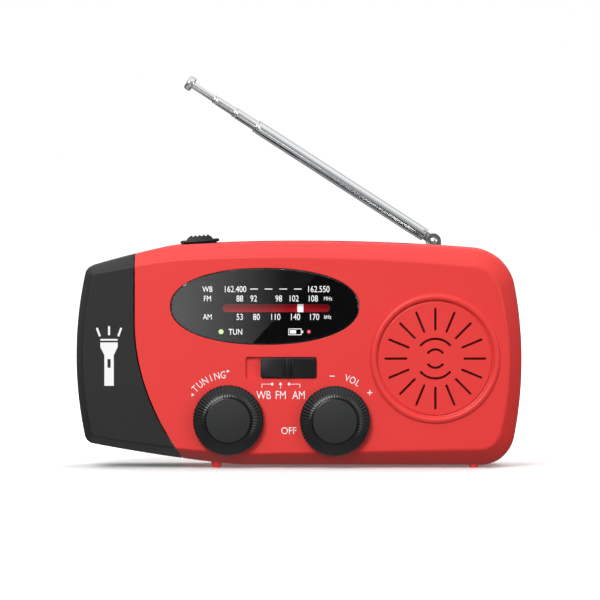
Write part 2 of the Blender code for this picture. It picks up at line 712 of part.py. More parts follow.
def speaker():
    place = (SPEAKER_X, SPEAKER_Z)
    basket = [
        (17.3, -16.2), (17.3, -15.0), (14.6, -14.4), (10.2, -7.2), (10.2, -6.2),
        (4.6, -6.2), (4.6, -7.2), (9.3, -7.4), (13.9, -14.7), (15.2, -16.2),
    ]  # fmt: skip
    cone = [
        (0, -13.2), (3.9, -12.2), (12.9, -15.4), (14.1, -15.8), (14.1, -15.4),
        (12.9, -15.0), (4.1, -11.4), (4.1, -7.6), (0, -7.6),
    ]  # fmt: skip
    piece("speaker_frame", turn(basket, 24, place), STEEL)
    piece("speaker_cone", turn(cone, 24, place), PAPER)
    piece("speaker_magnet", cylinder(9.0, -5.9, -0.6, place, 24), FERRITE)


def solar_panel():
    piece("solar_panel", box(-20.0, 32.0, -8.0, 9.7, 63.3, 64.5), SOLAR)


# ---- torch ----


def torch():
    def aimed(bm):
        return laid_over(bm, (0, TORCH_Y, TORCH_Z))

    piece("torch_lens", aimed(cylinder(TORCH_R, -63.2, -62.0, steps=32)), CLEAR)
    bowl = [
        (10.6, -61.6), (9.9, -61.6), (7.6, -57.2), (4.2, -53.4), (1.8, -51.6),
        (1.8, -51.2), (3.0, -51.2), (8.6, -57.0), (10.6, -60.6),
    ]  # fmt: skip
    piece("torch_reflector", aimed(turn(bowl, 24)), CHROME)
    piece("torch_board", aimed(cylinder(6.0, -50.8, -49.4, steps=24)), BOARD)
    lamp = [(0, -54.4), (0.8, -54.1), (1.4, -53.2), (1.4, -51.1), (0, -51.1)]
    piece("torch_led", aimed(turn(lamp, 12)), WHITE)


# ---- crank and generator ----


def polar(start, angle, distance):
    a = math.radians(angle)
    return (start[0] + distance * math.cos(a), start[1] + distance * math.sin(a))


def spacing(teeth_1, teeth_2):
    return GEAR_MODULE * (teeth_1 + teeth_2) / 2


def gear_train():
    crank = (CRANK_X, CRANK_Z)
    idler_1 = polar(crank, IDLER_1_ANGLE, spacing(DRIVE_TEETH, SMALL_TEETH))
    idler_2 = polar(idler_1, IDLER_2_ANGLE, spacing(IDLER_1_TEETH, SMALL_TEETH))
    rotor = polar(idler_2, ROTOR_ANGLE, spacing(IDLER_2_TEETH, SMALL_TEETH))

    drive = gear(DRIVE_TEETH, GEAR_MODULE, *LAYER_A, (0, 0), IDLER_1_ANGLE)
    wheel = piece("drive_gear", drive, NYLON, (CRANK_X, 0, CRANK_Z))
    cut(wheel, "bore", cylinder(2.0 + GAP, 0.0, 20.0, steps=16))

    for name, place, large, large_layer, small_layer, came_from, next_angle in (
        ("idler_gear_1", idler_1, IDLER_1_TEETH, LAYER_B, LAYER_A, crank, IDLER_2_ANGLE),
        ("idler_gear_2", idler_2, IDLER_2_TEETH, LAYER_C, LAYER_B, idler_1, ROTOR_ANGLE),
    ):
        small_tooth = meshing_angle(came_from, place, SMALL_TEETH)
        large_gear = gear(large, GEAR_MODULE, *large_layer, (0, 0), next_angle)
        wheel = piece(name, large_gear, NYLON, (place[0], 0, place[1]))
        low, high = small_layer[0] - 1.3, small_layer[1]
        join(
            wheel,
            "pinion",
            gear(SMALL_TEETH, GEAR_MODULE, low, high, (0, 0), small_tooth),
            cylinder(1.0, PLATE_Y[0], large_layer[0] + 0.5, steps=12),
        )

    tooth = meshing_angle(idler_2, rotor, SMALL_TEETH)
    pinion = gear(SMALL_TEETH, GEAR_MODULE, *LAYER_C, (0, 0), tooth)
    arbor = piece("rotor_pinion", pinion, STEEL, (rotor[0], 0, rotor[1]))
    join(arbor, "shaft", cylinder(1.0, 0.4, LAYER_C[0] + 0.5, steps=12))

    plate = piece("gearbox_plate", box(-4.0, 39.5, *PLATE_Y, 7.0, 57.0), STEEL)
    bores = [cylinder(1.3, 0.0, 20.0, place, 12) for place in (idler_1, idler_2, rotor)]
    cut(plate, "bores", *bores, cylinder(2.3, 0.0, 20.0, crank, 16))
    case = piece("generator", cylinder(10.0, -6.0, 2.3, rotor, 32), STEEL)
    cut(case, "bore", cylinder(1.3, 0.1, 10.0, rotor, 12))


def crank():
    """The arm lies to the left in its round recess, with the grip folded in between its two rails."""
    hub = (CRANK_X, 0, CRANK_Z)
    end_x = -CRANK_REACH
    arm = piece("crank_arm", box(end_x - 2.2, 0.0, 14.0, 20.0, -6.2, 6.2), BLACK, hub)
    join(arm, "hub", cylinder(6.8, RECESS_FLOOR_Y + GAP, 20.0, steps=32))
    cut(arm, "slot", box(end_x - 9.0, -6.2, 10.0, 30.0, -3.9, 3.9))
    cut(
        arm,
        "bores",
        cylinder(2.0 + GAP, 0.0, 18.0, steps=16),
        stood_up(cylinder(1.0, -20.0, 20.0, steps=12), (end_x, CRANK_GRIP_Y, 0)),
    )
    piece("crank_shaft", cylinder(2.0, 2.6, 17.7, steps=16), STEEL, hub)
    cap = [(0, 20.3), (6.0, 20.3), (6.0, 21.6), (4.8, 22.6), (2.4, CRANK_TOP_Y), (0, CRANK_TOP_Y)]
    piece("crank_cap", turn(cap, 24), CHROME, hub)

    pivot = (CRANK_X + end_x, CRANK_GRIP_Y, CRANK_Z)
    piece("crank_hinge_pin", stood_up(cylinder(0.7, -6.0, 6.0, steps=12)), STEEL, pivot)
    knuckle = stood_up(cylinder(2.1, -3.6, 3.6, steps=16))
    spindle = piece("crank_spindle", knuckle, STEEL, pivot)
    join(
        spindle,
        "rod",
        laid_over(turn([(0, 0.0), (1.3, 0.0), (1.3, 15.4), (2.2, 15.5), (2.2, 16.2), (0, 16.2)], 16)),
    )
    cut(spindle, "bore", stood_up(cylinder(1.0, -9.0, 9.0, steps=12)))
    sleeve = [
        (1.6, 2.6), (2.9, 2.6), (3.3, 3.4), (3.0, 8.0), (3.3, 13.6),
        (3.3, 15.6), (2.9, 16.4), (2.5, 16.4), (2.5, 15.2), (1.6, 15.2),
    ]  # fmt: skip
    piece("crank_grip", laid_over(turn(sleeve, 20)), BLACK, pivot)


# ---- antenna ----


def antenna():
    place = (ANTENNA_X, ANTENNA_Y, ANTENNA_Z)
    ear_r, ear_in, ear_out = 2.2, 1.95, 3.1
    foot_profile = [
        (0, -9.0), (3.1, -9.0), (3.1, -8.1), (2.6, -8.1), (2.6, -4.3), (3.7, -4.3), (3.7, -2.3), (0, -2.3),
    ]  # fmt: skip
    swivel = piece("antenna_swivel", stood_up(turn(foot_profile, 24)), CHROME, place)
    for side in (-1, 1):
        y0, y1 = sorted((side * ear_in, side * ear_out))
        angles = [math.pi * k / 10 for k in range(11)]
        ear = [(-ear_r, -2.8)]
        ear += [(-ear_r * math.cos(a), ear_r * math.sin(a)) for a in angles]
        ear += [(ear_r, -2.8)]
        join(swivel, f"ear_{side + 1}", prism(ear, y0, y1))
    cut(swivel, "bore", cylinder(0.9, -9.0, 9.0, steps=12))
    piece("antenna_pin", cylinder(0.7, -3.4, 3.4, steps=12), STEEL, place)

    lean = (0, -(90 - ANTENNA_RAISED), 0)
    tang = piece("antenna_tube_1", cylinder(1.9, -1.65, 1.65, steps=TUBE_SIDES), CHROME, place, lean)
    join(
        tang,
        "neck",
        box(-1.3, 1.3, -1.65, 1.65, 0.6, 4.2),
        antenna_tube(1.9, 1.6, 3.0, 62.0, 5.4),
    )
    cut(tang, "bore", cylinder(0.9, -9.0, 9.0, steps=12))
    for name, outer, inner, start, end in (
        ("antenna_tube_2", 1.5, 1.33, 13.2, 69.6),
        ("antenna_tube_3", 1.23, 1.03, 19.4, 76.6),
    ):
        piece(name, antenna_tube(outer, inner, start, end), CHROME, place, lean)
    piece("antenna_rod", stood_up(cylinder(0.93, 26.9, 84.2, steps=TUBE_SIDES)), CHROME, place, lean)
    tip = [(1.1, 83.7), (1.9, 83.7), (2.1, 84.1), (2.1, 85.4), (1.7, 85.9), (0, 85.9), (0, 84.4), (1.1, 84.4)]
    piece("antenna_tip", stood_up(turn(tip, TUBE_SIDES)), CHROME, place, lean)


def antenna_tube(outer, inner, start, end, floor=None):
    """A section of the antenna along +Z, open at its far end. With a floor it is closed below it."""
    if floor is None:
        profile = [(inner, start), (outer, start), (outer, end), (inner, end)]
    else:
        profile = [(0, start), (outer, start), (outer, end), (inner, end), (inner, floor), (0, floor)]
    return stood_up(turn(profile, TUBE_SIDES))


# ---- ports ----


def port_openings():
    """x0, x1, z0, z1 of the holes that the plugs go through."""
    return [(44.0, 50.4, 24.6, 38.4), (51.9, 55.2, 27.6, 35.8)]


def ports():
    usb, micro = port_openings()
    piece("port_board", box(43.4, 56.0, 9.0, 10.2, 22.0, 41.0), BOARD)
    for name, opening, half_tongue in (("usb_socket", usb, 0.9), ("micro_usb_socket", micro, 0.35)):
        x0, x1 = opening[0] + GAP, opening[1] - GAP
        z0, z1 = opening[2] + GAP, opening[3] - GAP
        shell = piece(name, box(x0, x1, 10.5, REAR_Y - PORT_DEPTH - 0.2, z0, z1), STEEL)
        cut(shell, "mouth", box(x0 + 0.4, x1 - 0.4, 11.5, 30.0, z0 + 0.4, z1 - 0.4))
        middle = (x0 + x1) / 2
        tongue = box(middle - half_tongue, middle + half_tongue, 11.0, 18.0, z0 + 1.4, z1 - 1.4)
        join(shell, "tongue", tongue)
    port_cover()


def port_cover():
    """A flat flap with a round hinge edge on its left. Its origin is on the hinge's axis."""
    half = PORT_COVER_HALF
    far = PORT_X[1] - PORT_X[0] - 2 * GAP - half
    angles = [math.pi * (0.5 + k / 6) for k in range(7)]
    outline = [(half * math.cos(a), half * math.sin(a)) for a in angles] + [(far, -half), (far, half)]
    rings = [[(x, y, z) for x, y in outline] for z in (PORT_Z[0] + GAP, PORT_Z[1] - GAP)]
    piece("port_cover", loft(rings), RUBBER, (PORT_X[0] + GAP + half, REAR_Y - half, 0))


def main():
    for obj in list(bpy.data.objects):
        bpy.data.objects.remove(obj, do_unlink=True)
    front_shell()
    rear_shell()
    end_cap()
    case_screws()
    dial()
    tuning_train()
    volume()
    band_selector()
    torch_button()
    main_board()
    radio_coil()
    battery()
    speaker()
    solar_panel()
    torch()
    gear_train()
    crank()
    antenna()
    ports()


main()
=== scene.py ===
import math
from collections import namedtuple

import bmesh
import bpy
from mathutils import Matrix, Vector


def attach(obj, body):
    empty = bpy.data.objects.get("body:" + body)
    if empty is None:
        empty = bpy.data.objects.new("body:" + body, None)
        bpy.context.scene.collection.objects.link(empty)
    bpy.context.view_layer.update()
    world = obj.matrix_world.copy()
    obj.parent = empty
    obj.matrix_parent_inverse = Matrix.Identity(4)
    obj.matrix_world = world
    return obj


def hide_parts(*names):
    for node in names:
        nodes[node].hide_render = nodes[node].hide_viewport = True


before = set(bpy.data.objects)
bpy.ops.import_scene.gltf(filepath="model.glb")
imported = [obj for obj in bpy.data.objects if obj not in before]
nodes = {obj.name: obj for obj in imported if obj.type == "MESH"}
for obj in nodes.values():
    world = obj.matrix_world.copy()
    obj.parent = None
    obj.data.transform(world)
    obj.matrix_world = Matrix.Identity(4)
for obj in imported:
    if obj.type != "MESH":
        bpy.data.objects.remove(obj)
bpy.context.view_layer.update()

# Shapes are written in millimetres in the shared frame, and add() turns them into metres with MM.
MM = 0.001
GAP = 0.3  # between pieces that move or are clipped together
scene = bpy.context.scene


# ---- materials ----


def lit(colour, share):
    return (*[min(c * share, 1.0) for c in colour], 1.0)


def new_material(name):
    made = bpy.data.materials.new(name)
    made.use_nodes = True
    return made, made.node_tree


def set_sockets(node, values):
    for socket, value in values.items():
        node.inputs[socket.replace("_", " ")].default_value = value


def shader_of(material):
    return material.node_tree.nodes["Principled BSDF"]


def placed(tree, kind, **values):
    """A new node of this kind, with values in its sockets."""
    node = tree.nodes.new(kind)
    set_sockets(node, values)
    return node


def wire(tree, *pairs):
    for source, target in pairs:
        tree.links.new(source, target)


GLOSS_DRIFT = 0.05


def finish(name, colour, roughness, metallic=0.0, drift=0.06, drift_scale=45.0, grain=0.02,
           grain_scale=2600.0, stretch=(1.0, 1.0, 1.0), **sockets):
    """A surface whose colour and gloss drift slowly, with a fine grain that is grain millimetres high."""
    made, tree = new_material(name)
    made.diffuse_color = (*colour, 1.0)
    shader = shader_of(made)
    set_sockets(shader, {"Metallic": metallic, **sockets})
    place = tree.nodes.new("ShaderNodeTexCoord").outputs["Object"]
    stretched = placed(tree, "ShaderNodeMapping", Scale=stretch)
    slow = placed(tree, "ShaderNodeTexNoise", Scale=drift_scale, Detail=4.0)
    tint = tree.nodes.new("ShaderNodeMix")
    tint.data_type = "RGBA"
    set_sockets(tint, {"A": lit(colour, 1 - drift), "B": lit(colour, 1 + drift)})
    fine = placed(tree, "ShaderNodeTexNoise", Scale=grain_scale, Detail=3.0)
    gloss = placed(tree, "ShaderNodeMapRange", To_Min=max(roughness - GLOSS_DRIFT, 0.02),
                   To_Max=min(roughness + GLOSS_DRIFT, 1.0))
    bump = placed(tree, "ShaderNodeBump", Strength=0.6, Distance=grain * MM)
    wire(
        tree,
        (place, stretched.inputs["Vector"]),
        (place, slow.inputs["Vector"]),
        (slow.outputs["Fac"], tint.inputs["Factor"]),
        (tint.outputs["Result"], shader.inputs["Base Color"]),
        (stretched.outputs["Vector"], fine.inputs["Vector"]),
        (slow.outputs["Fac"], gloss.inputs["Value"]),
        (gloss.outputs["Result"], shader.inputs["Roughness"]),
        (fine.outputs["Fac"], bump.inputs["Height"]),
        (bump.outputs["Normal"], shader.inputs["Normal"]),
    )
    return made


def clear(name, tint, roughness):
    """A clear cover: what is behind shows through its tint, with the gloss of the surface over it."""
    made, tree = new_material(name)
    tree.nodes.remove(shader_of(made))
    through = placed(tree, "ShaderNodeBsdfTransparent", Color=(*tint, 1.0))
    gloss = tree.nodes.new("ShaderNodeBsdfGlossy")
    fine = placed(tree, "ShaderNodeTexNoise", Scale=160.0)
    haze = placed(tree, "ShaderNodeMapRange", To_Min=roughness * 0.7, To_Max=roughness * 1.3)
    fresnel = placed(tree, "ShaderNodeFresnel", IOR=1.49)
    mix = tree.nodes.new("ShaderNodeMixShader")
    wire(
        tree,
        (fine.outputs["Fac"], haze.inputs["Value"]),
        (haze.outputs["Result"], gloss.inputs["Roughness"]),
        (fresnel.outputs["Fac"], mix.inputs["Fac"]),
        (through.outputs["BSDF"], mix.inputs[1]),
        (gloss.outputs["BSDF"], mix.inputs[2]),
        (mix.outputs["Shader"], tree.nodes["Material Output"].inputs["Surface"]),
    )
    return made


def pattern(made, kind, output, scale, dark, light, share, **sockets):
    """Lays two colours over a finish, as the output of a brick or Voronoi texture says."""
    tree = made.node_tree
    place = tree.nodes.new("ShaderNodeTexCoord")
    texture = placed(tree, kind, Scale=scale, **sockets)
    ramp = tree.nodes.new("ShaderNodeValToRGB")
    for stop, position, colour in zip(ramp.color_ramp.elements, (share, share + 0.08), (dark, light)):
        stop.position, stop.color = position, (*colour, 1.0)
    wire(
        tree,
        (place.outputs["Object"], texture.inputs["Vector"]),
        (texture.outputs[output], ramp.inputs["Fac"]),
        (ramp.outputs["Color"], shader_of(made).inputs["Base Color"]),
    )
    return made


RED = finish("red_shell", (0.79, 0.040, 0.036), 0.42, grain=0.012, grain_scale=2200, drift=0.03,
             Specular_IOR_Level=0.32)
CAP = finish("black_cap", (0.013, 0.013, 0.0135), 0.42, grain=0.012, Specular_IOR_Level=0.3)
TRIM = finish("black_trim", (0.008, 0.0075, 0.009), 0.36, grain=0.014, Specular_IOR_Level=0.25)
KNOB = finish("black_knob", (0.005, 0.005, 0.0055), 0.22, grain=0.006, Specular_IOR_Level=0.4)
KNOB_FACE = finish("black_knob_face", (0.016, 0.018, 0.016), 0.6, grain=0.02, Specular_IOR_Level=0.3)
LENS = clear("clear_lens", (0.97, 0.97, 0.98), 0.012)
RESIN = clear("clear_resin", (0.9, 0.93, 1.0), 0.05)
PRINT = finish("dial_print", (0.002, 0.002, 0.0025), 0.5, grain=0.003, Specular_IOR_Level=0.04)
LEGEND = finish("white_print", (0.9, 0.9, 0.9), 0.5, grain=0.004)
# White scale print with a painted glow: the white emission set below brightens it beyond what the lights
# give.
SCALE_PRINT_PAINTED_GLOW = finish("white_scale_print_painted_glow", (0.95, 0.95, 0.95), 0.5, grain=0.004)
# Dark red backplate with a painted red glow, set below, that brightens the bar behind the dial slot.
BACKPLATE_PAINTED_GLOW = finish("red_backplate", (0.42, 0.004, 0.010), 0.45, grain=0.01, Specular_IOR_Level=0.1)
WHITE = finish("white_plastic", (0.85, 0.85, 0.83), 0.4, grain=0.01)
# White pointer with a painted white glow, set below.
POINTER_PAINTED_GLOW = finish("pointer_white_painted_glow", (0.92, 0.92, 0.9), 0.4, grain=0.006)
NYLON = finish("nylon", (0.72, 0.70, 0.62), 0.5, grain=0.015)
CHROME = finish("antenna_chrome", (0.68, 0.69, 0.70), 0.16, 1.0, drift=0.03, grain=0.0)
CRANK_CHROME = finish("crank_chrome", (0.82, 0.83, 0.85), 0.12, 1.0, drift=0.03, grain=0.003)
REFLECTOR = finish("reflector", (0.9, 0.91, 0.92), 0.08, 1.0, drift=0.02, grain=0.004, grain_scale=500)
STEEL = finish("steel", (0.5, 0.5, 0.51), 0.32, 1.0, grain=0.006, stretch=(1, 1, 0.06), drift=0.1)
BOARD = pattern(
    finish("board", (0.02, 0.16, 0.06), 0.45, grain=0.01), "ShaderNodeTexVoronoi", "Distance", 420.0,
    (0.30, 0.24, 0.08), (0.012, 0.13, 0.05), 0.22,
)
PAPER = finish("cone_paper", (0.05, 0.045, 0.04), 0.9, grain=0.05, grain_scale=1800, drift=0.2)
FERRITE = finish("ferrite", (0.035, 0.035, 0.04), 0.6, grain=0.05, drift=0.25, drift_scale=400)
CELLS = finish("solar_cells", (0.012, 0.02, 0.07), 0.22, drift=0.35, drift_scale=500, grain=0.003)
SILVER = finish("silver_print", (0.62, 0.63, 0.65), 0.4, 0.8, grain=0.004)
WRAP = pattern(
    finish("cell_wrap", (0.08, 0.24, 0.6), 0.3, grain=0.006), "ShaderNodeTexBrick", "Fac", 45.0,
    (0.75, 0.76, 0.78), (0.06, 0.2, 0.55), 0.5, Mortar_Size=0.03,
)
COPPER = finish("copper", (0.55, 0.22, 0.09), 0.34, 1.0, grain=0.06, grain_scale=900, stretch=(6, 0.1, 0.1))
RUBBER = finish("rubber", (0.03, 0.03, 0.031), 0.72, grain=0.03, grain_scale=3000)
GREEN = finish("green_lamp", (0.35, 0.8, 0.1), 0.2, drift=0.02, grain=0.001)
RED_LAMP = finish("red_lamp", (0.85, 0.08, 0.12), 0.2, drift=0.02, grain=0.001)
# Dark red felt: its colour is painted shade for the inside of the case behind the grille.
CLOTH_PAINTED_SHADE = finish("speaker_cloth_painted_shade", (0.10, 0.008, 0.008), 0.9, grain=0.12, grain_scale=1500, drift=0.2)
LAMP = finish("white_lamp", (0.92, 0.9, 0.72), 0.15, grain=0.001)
# The two LEDs glow as lamps. The glow on the scale print, the pointer and the backplate is painted light,
# which makes them brighter than the studio lights alone would.
for lamp_and_painted_glow, colour, power in (
    (GREEN, (0.62, 1.0, 0.16), 0.9),
    (RED_LAMP, (1.0, 0.16, 0.25), 0.7),
    (SCALE_PRINT_PAINTED_GLOW, (1.0, 1.0, 1.0), 0.4),
    (POINTER_PAINTED_GLOW, (1.0, 1.0, 1.0), 0.55),
    (BACKPLATE_PAINTED_GLOW, (1.0, 0.04, 0.06), 0.12),
):
    set_sockets(shader_of(lamp_and_painted_glow), {"Emission Color": (*colour, 1.0), "Emission Strength": power})


# ---- meshes ----


def solid(bm):
    bmesh.ops.recalc_face_normals(bm, faces=bm.faces)
    return bm


def loft(rings):
    """A solid through rings of equally many points, closed by a flat face at each end."""
    bm = bmesh.new()
    rows = [[bm.verts.new(p) for p in ring] for ring in rings]
    for near, far in zip(rows, rows[1:]):
        for i in range(len(near)):
            j = (i + 1) % len(near)
            bm.faces.new((near[i], near[j], far[j], far[i]))
    bm.faces.new(rows[0])
    bm.faces.new(rows[-1])
    return solid(bm)


def prism(outline, y0, y1):
    return loft([[(x, y, z) for x, z in outline] for y in (y0, y1)])


def plate(shrink_outline, y_front, y_back, edge):
    """A plate whose front edge is chamfered. shrink_outline(d) gives the outline drawn in by d."""
    rings = [(edge, y_front), (edge * 0.3, y_front + edge * 0.3), (0.0, y_front + edge), (0.0, y_back)]
    return loft([[(x, y, z) for x, z in shrink_outline(inset)] for inset, y in rings])


def box(x0, x1, y0, y1, z0, z1):
    return prism([(x0, z0), (x1, z0), (x1, z1), (x0, z1)], y0, y1)


def rounded_box(x0, x1, y0, y1, z0, z1, width=0.4, segments=3):
    bm = box(x0, x1, y0, y1, z0, z1)
    bmesh.ops.bevel(
        bm, geom=bm.edges[:], offset=width, offset_type="OFFSET", segments=segments, profile=0.5,
        affect="EDGES",
    )
    return solid(bm)


def polar(centre, radius, degrees):
    angle = math.radians(degrees)
    return centre[0] + radius * math.cos(angle), centre[1] + radius * math.sin(angle)


def arc(centre, radius, first, last, steps):
    """Points on an arc from first to last degrees."""
    return [polar(centre, radius, first + (last - first) * k / steps) for k in range(steps + 1)]


def rounded_outline(x0, x1, z0, z1, radius, steps=8):
    """A rectangle in the XZ plane with rounded corners."""
    left, right, bottom, top = x0 + radius, x1 - radius, z0 + radius, z1 - radius
    points = []
    for quarter, middle in enumerate(((right, top), (left, top), (left, bottom), (right, bottom))):
        points += arc(middle, radius, 90 * quarter, 90 * quarter + 90, steps)
    return points


def turn(profile, steps=64, centre=(0.0, 0.0), flutes=0, flute_depths=()):
    """A solid of revolution about Y from (radius, y) points. A profile that never meets the axis is a ring.

    flutes is how many grooves run over it, and flute_depths how deep they are at each profile point.
    """
    bm = bmesh.new()
    rows = []
    for k, (radius, y) in enumerate(profile):
        if radius == 0:
            rows.append([bm.verts.new((centre[0], y, centre[1]))])
            continue
        row = []
        for i in range(steps):
            angle = math.tau * i / steps
            wave = 0.5 - 0.5 * math.cos(flutes * angle)
            r = radius - (flute_depths[k] * wave**0.7 if flutes else 0.0)
            row.append(bm.verts.new((centre[0] + r * math.cos(angle), y, centre[1] + r * math.sin(angle))))
        rows.append(row)
    ring = len(rows[0]) > 1 and len(rows[-1]) > 1
    pairs = list(zip(rows, rows[1:])) + ([(rows[-1], rows[0])] if ring else [])
    for near, far in pairs:
        for i in range(steps):
            j = (i + 1) % steps
            corners = [near[i % len(near)], near[j % len(near)], far[j % len(far)], far[i % len(far)]]
            corners = list(dict.fromkeys(corners))
            if len(corners) > 2:
                bm.faces.new(corners)
    return solid(bm)


def fluted(profile, steps, flutes, centre=(0.0, 0.0)):
    """Like turn(), with grooves over it. The third value of a profile point says how deep they are there."""
    return turn([(r, y) for r, y, _ in profile], steps, centre, flutes, [depth for _, _, depth in profile])


def cylinder(radius, y0, y1, centre=(0.0, 0.0), steps=48):
    return turn([(0, y0), (radius, y0), (radius, y1), (0, y1)], steps, centre)


def moved(bm, matrix):
    bmesh.ops.transform(bm, matrix=matrix, verts=bm.verts)
    return bm


def stood_up(bm, at=(0, 0, 0)):
    """Turns what was made along +Y to run along +Z, then moves it."""
    return moved(bm, Matrix.Translation(at) @ Matrix.Rotation(math.pi / 2, 4, "X"))


def laid_over(bm, at=(0, 0, 0)):
    """Turns what was made along +Y to run along +X, then moves it."""
    return moved(bm, Matrix.Translation(at) @ Matrix.Rotation(-math.pi / 2, 4, "Z"))


def together(*parts):
    whole = bmesh.new()
    for bm in parts:
        mesh = bpy.data.meshes.new("part")
        bm.to_mesh(mesh)
        bm.free()
        whole.from_mesh(mesh)
        bpy.data.meshes.remove(mesh)
    return whole


def new_object(name, data):
    obj = bpy.data.objects.new(name, data)
    scene.collection.objects.link(obj)
    return obj


def object_of(name, bm):
    mesh = bpy.data.meshes.new(name)
    bm.to_mesh(mesh)
    bm.free()
    return new_object(name, mesh)


CUT, JOIN = "DIFFERENCE", "UNION"


def combined(bm, *steps):
    """bm after each step in turn: (CUT or JOIN, the other solid)."""
    base = object_of("tool", bm)
    tools = [object_of("tool", other) for _, other in steps]
    for (operation, _), tool in zip(steps, tools):
        modifier = base.modifiers.new("step", "BOOLEAN")
        modifier.operation, modifier.object, modifier.solver = operation, tool, "EXACT"
    bpy.context.view_layer.update()
    mesh = bpy.data.meshes.new_from_object(base.evaluated_get(bpy.context.evaluated_depsgraph_get()))
    result = bmesh.new()
    result.from_mesh(mesh)
    bpy.data.meshes.remove(mesh)
    for obj in (base, *tools):
        old = obj.data
        bpy.data.objects.remove(obj)
        bpy.data.meshes.remove(old)
    return result


def cut(bm, *shapes):
    return combined(bm, *[(CUT, shape) for shape in shapes])


def joined(bm, *shapes):
    return combined(bm, *[(JOIN, shape) for shape in shapes])


def add(name, bm, material, body="root", stands_for=(), sharp=32.0, bevel=0.0):
    """One piece of the visual model, riding on its body. Edges steeper than sharp degrees stay sharp."""
    bmesh.ops.scale(bm, vec=(MM, MM, MM), verts=bm.verts)
    obj = object_of(name, bm)
    obj.data.materials.append(material)
    obj.data.shade_smooth()
    obj.data.set_sharp_from_angle(angle=math.radians(sharp))
    if bevel:
        modifier = obj.modifiers.new("edges", "BEVEL")
        modifier.width, modifier.segments = bevel * MM, 2
        modifier.limit_method, modifier.angle_limit = "ANGLE", math.radians(40)
        modifier.harden_normals = True
    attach(obj, body)
    if stands_for:
        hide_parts(*stands_for)
    return obj


# ---- case ----

Corner = namedtuple("Corner", "x z radius chamfer rise turn_steps edge_steps")
CORNERS = [
    Corner(-61.5, 57.8, 3.0, 2.4, 0.3, 3, 3),  # top left
    Corner(-36.0, 64.2, 40.0, 4.2, 1.85, 2, 7),  # where the sloping shoulder meets the arched top
    Corner(59.8, 62.5, 13.0, 5.4, 4.2, 5, 6),  # top right
    Corner(60.2, 0.7, 10.0, 5.0, 0.0, 5, 2),  # bottom right
    Corner(-18.0, 0.8, 60.0, 3.5, 0.5, 2, 3),  # where the flat bottom starts to rise
    Corner(-61.6, 7.3, 3.0, 2.4, 2.9, 3, 5),  # bottom left
]
FINE = 4  # how many times finer the outline is than the CAD's
FRONT_Y, REAR_Y, SPLIT_Y = -18.5, 21.0, 1.0
FACE_WALL, SIDE_WALL = 2.0, 3.2
# Depth behind the face, and the share of the chamfer that is left there. The first ring keeps the face flat.
CHAMFER = [
    (0.0, 1.14), (0.0, 1.04), (0.05, 0.98), (0.18, 0.93), (0.42, 0.87), (0.8, 0.79),
    (3.7, 0.21), (4.3, 0.12), (5.0, 0.055), (6.0, 0.018), (8.0, 0.0),
]  # fmt: skip
SEAM_TOP_X, SEAM_BEND_Z, SEAM_CURVE, SEAM_GAP = -47.6, 42.0, 0.009, 0.46
FOOT_X, FOOT_Y = (-23.9, 50.3), (-11.0, 11.0)
SCREW_PLACES = [(-30.5, 7.5), (-21.5, 57.0), (52.0, 53.0), (52.0, 10.0)]
BOSS_R, SCREW_HOLE_R, SCREW_HEAD_R = 2.8, 1.4, 2.7
DIAL_X, DIAL_Z, DIAL_HALF_W, DIAL_HALF_H = -10.0, 46.6, 27.2, 11.05
SLOT_X, SLOT_Z, SLOT_HALF_H, MASK_Y = (-22.2, 8.8), 46.1, 1.15, -16.6
INDICATOR_X, INDICATOR_Z = (-22.6, 2.7), 39.3
TUNING, VOLUME, SHAFT_HOLE_R = (-20.5, 13.9), (10.2, 13.7), 1.8
BAND_X, BAND_Z, BAND_DEPTH, SLIDER_X, BAND_TRAVEL = (-15.5, 5.0), (25.8, 32.1), 1.2, (-11.2, 4.7), 4.1
BUTTON, BUTTON_LEAN = (-28.8, -5.0, 64.55), -4.0
SPEAKER = (39.1, 31.6)
CRANK, RECESS_R, RECESS_FLOOR_Y, RECESS_WALL = (6.0, 31.0), 26.6, 13.2, 1.6
CRANK_REACH, GRIP_Y = 23.0, 17.2
HINGE = (39.2, 15.6, 65.1)
ANTENNA_RAISED = 32.9
LEDGE_Y, LEDGE_Z = 11.4, 60.4
PORT_X, PORT_Z, PORT_DEPTH = (42.7, 56.3), (21.0, 42.0), 1.2
PORT_HOLES = [(44.0, 50.4, 24.6, 38.4), (51.9, 55.2, 27.6, 35.8)]
TORCH_Y, TORCH_Z, TORCH_R = 1.2, 33.0, 11.0
SOLAR_X, SOLAR_Y, SOLAR_RECESS_Z = (-20.3, 32.3), (-8.3, 10.0), 63.0
GRILLE_RING_R, GRILLE_RING_HALF_W, GRILLE_RING_HEIGHT = 17.75, 0.95, 0.72
SPOKES, SPOKE_R, SLOT_HALF_W = 16, (8.4, 14.3), 0.3
GRILLE_ARCS = [(5.7, 40), (2.65, 33)]  # radius, and the angle that is left open at each end
PIN_BORE_R = 0.9


def bulged(a, b, rise, t):
    """The point at t on the arc from a to b, which stands out by rise at its middle."""
    side = Vector((a.y - b.y, b.x - a.x)).normalized()
    return a.lerp(b, t) + side * (4 * rise * t * (1 - t))


def edge_direction(sharp, i, t):
    a, b = sharp[i], sharp[(i + 1) % len(sharp)]
    side = Vector((a.y - b.y, b.x - a.x)).normalized()
    return (b - a + side * (4 * CORNERS[i].rise * (1 - 2 * t))).normalized()


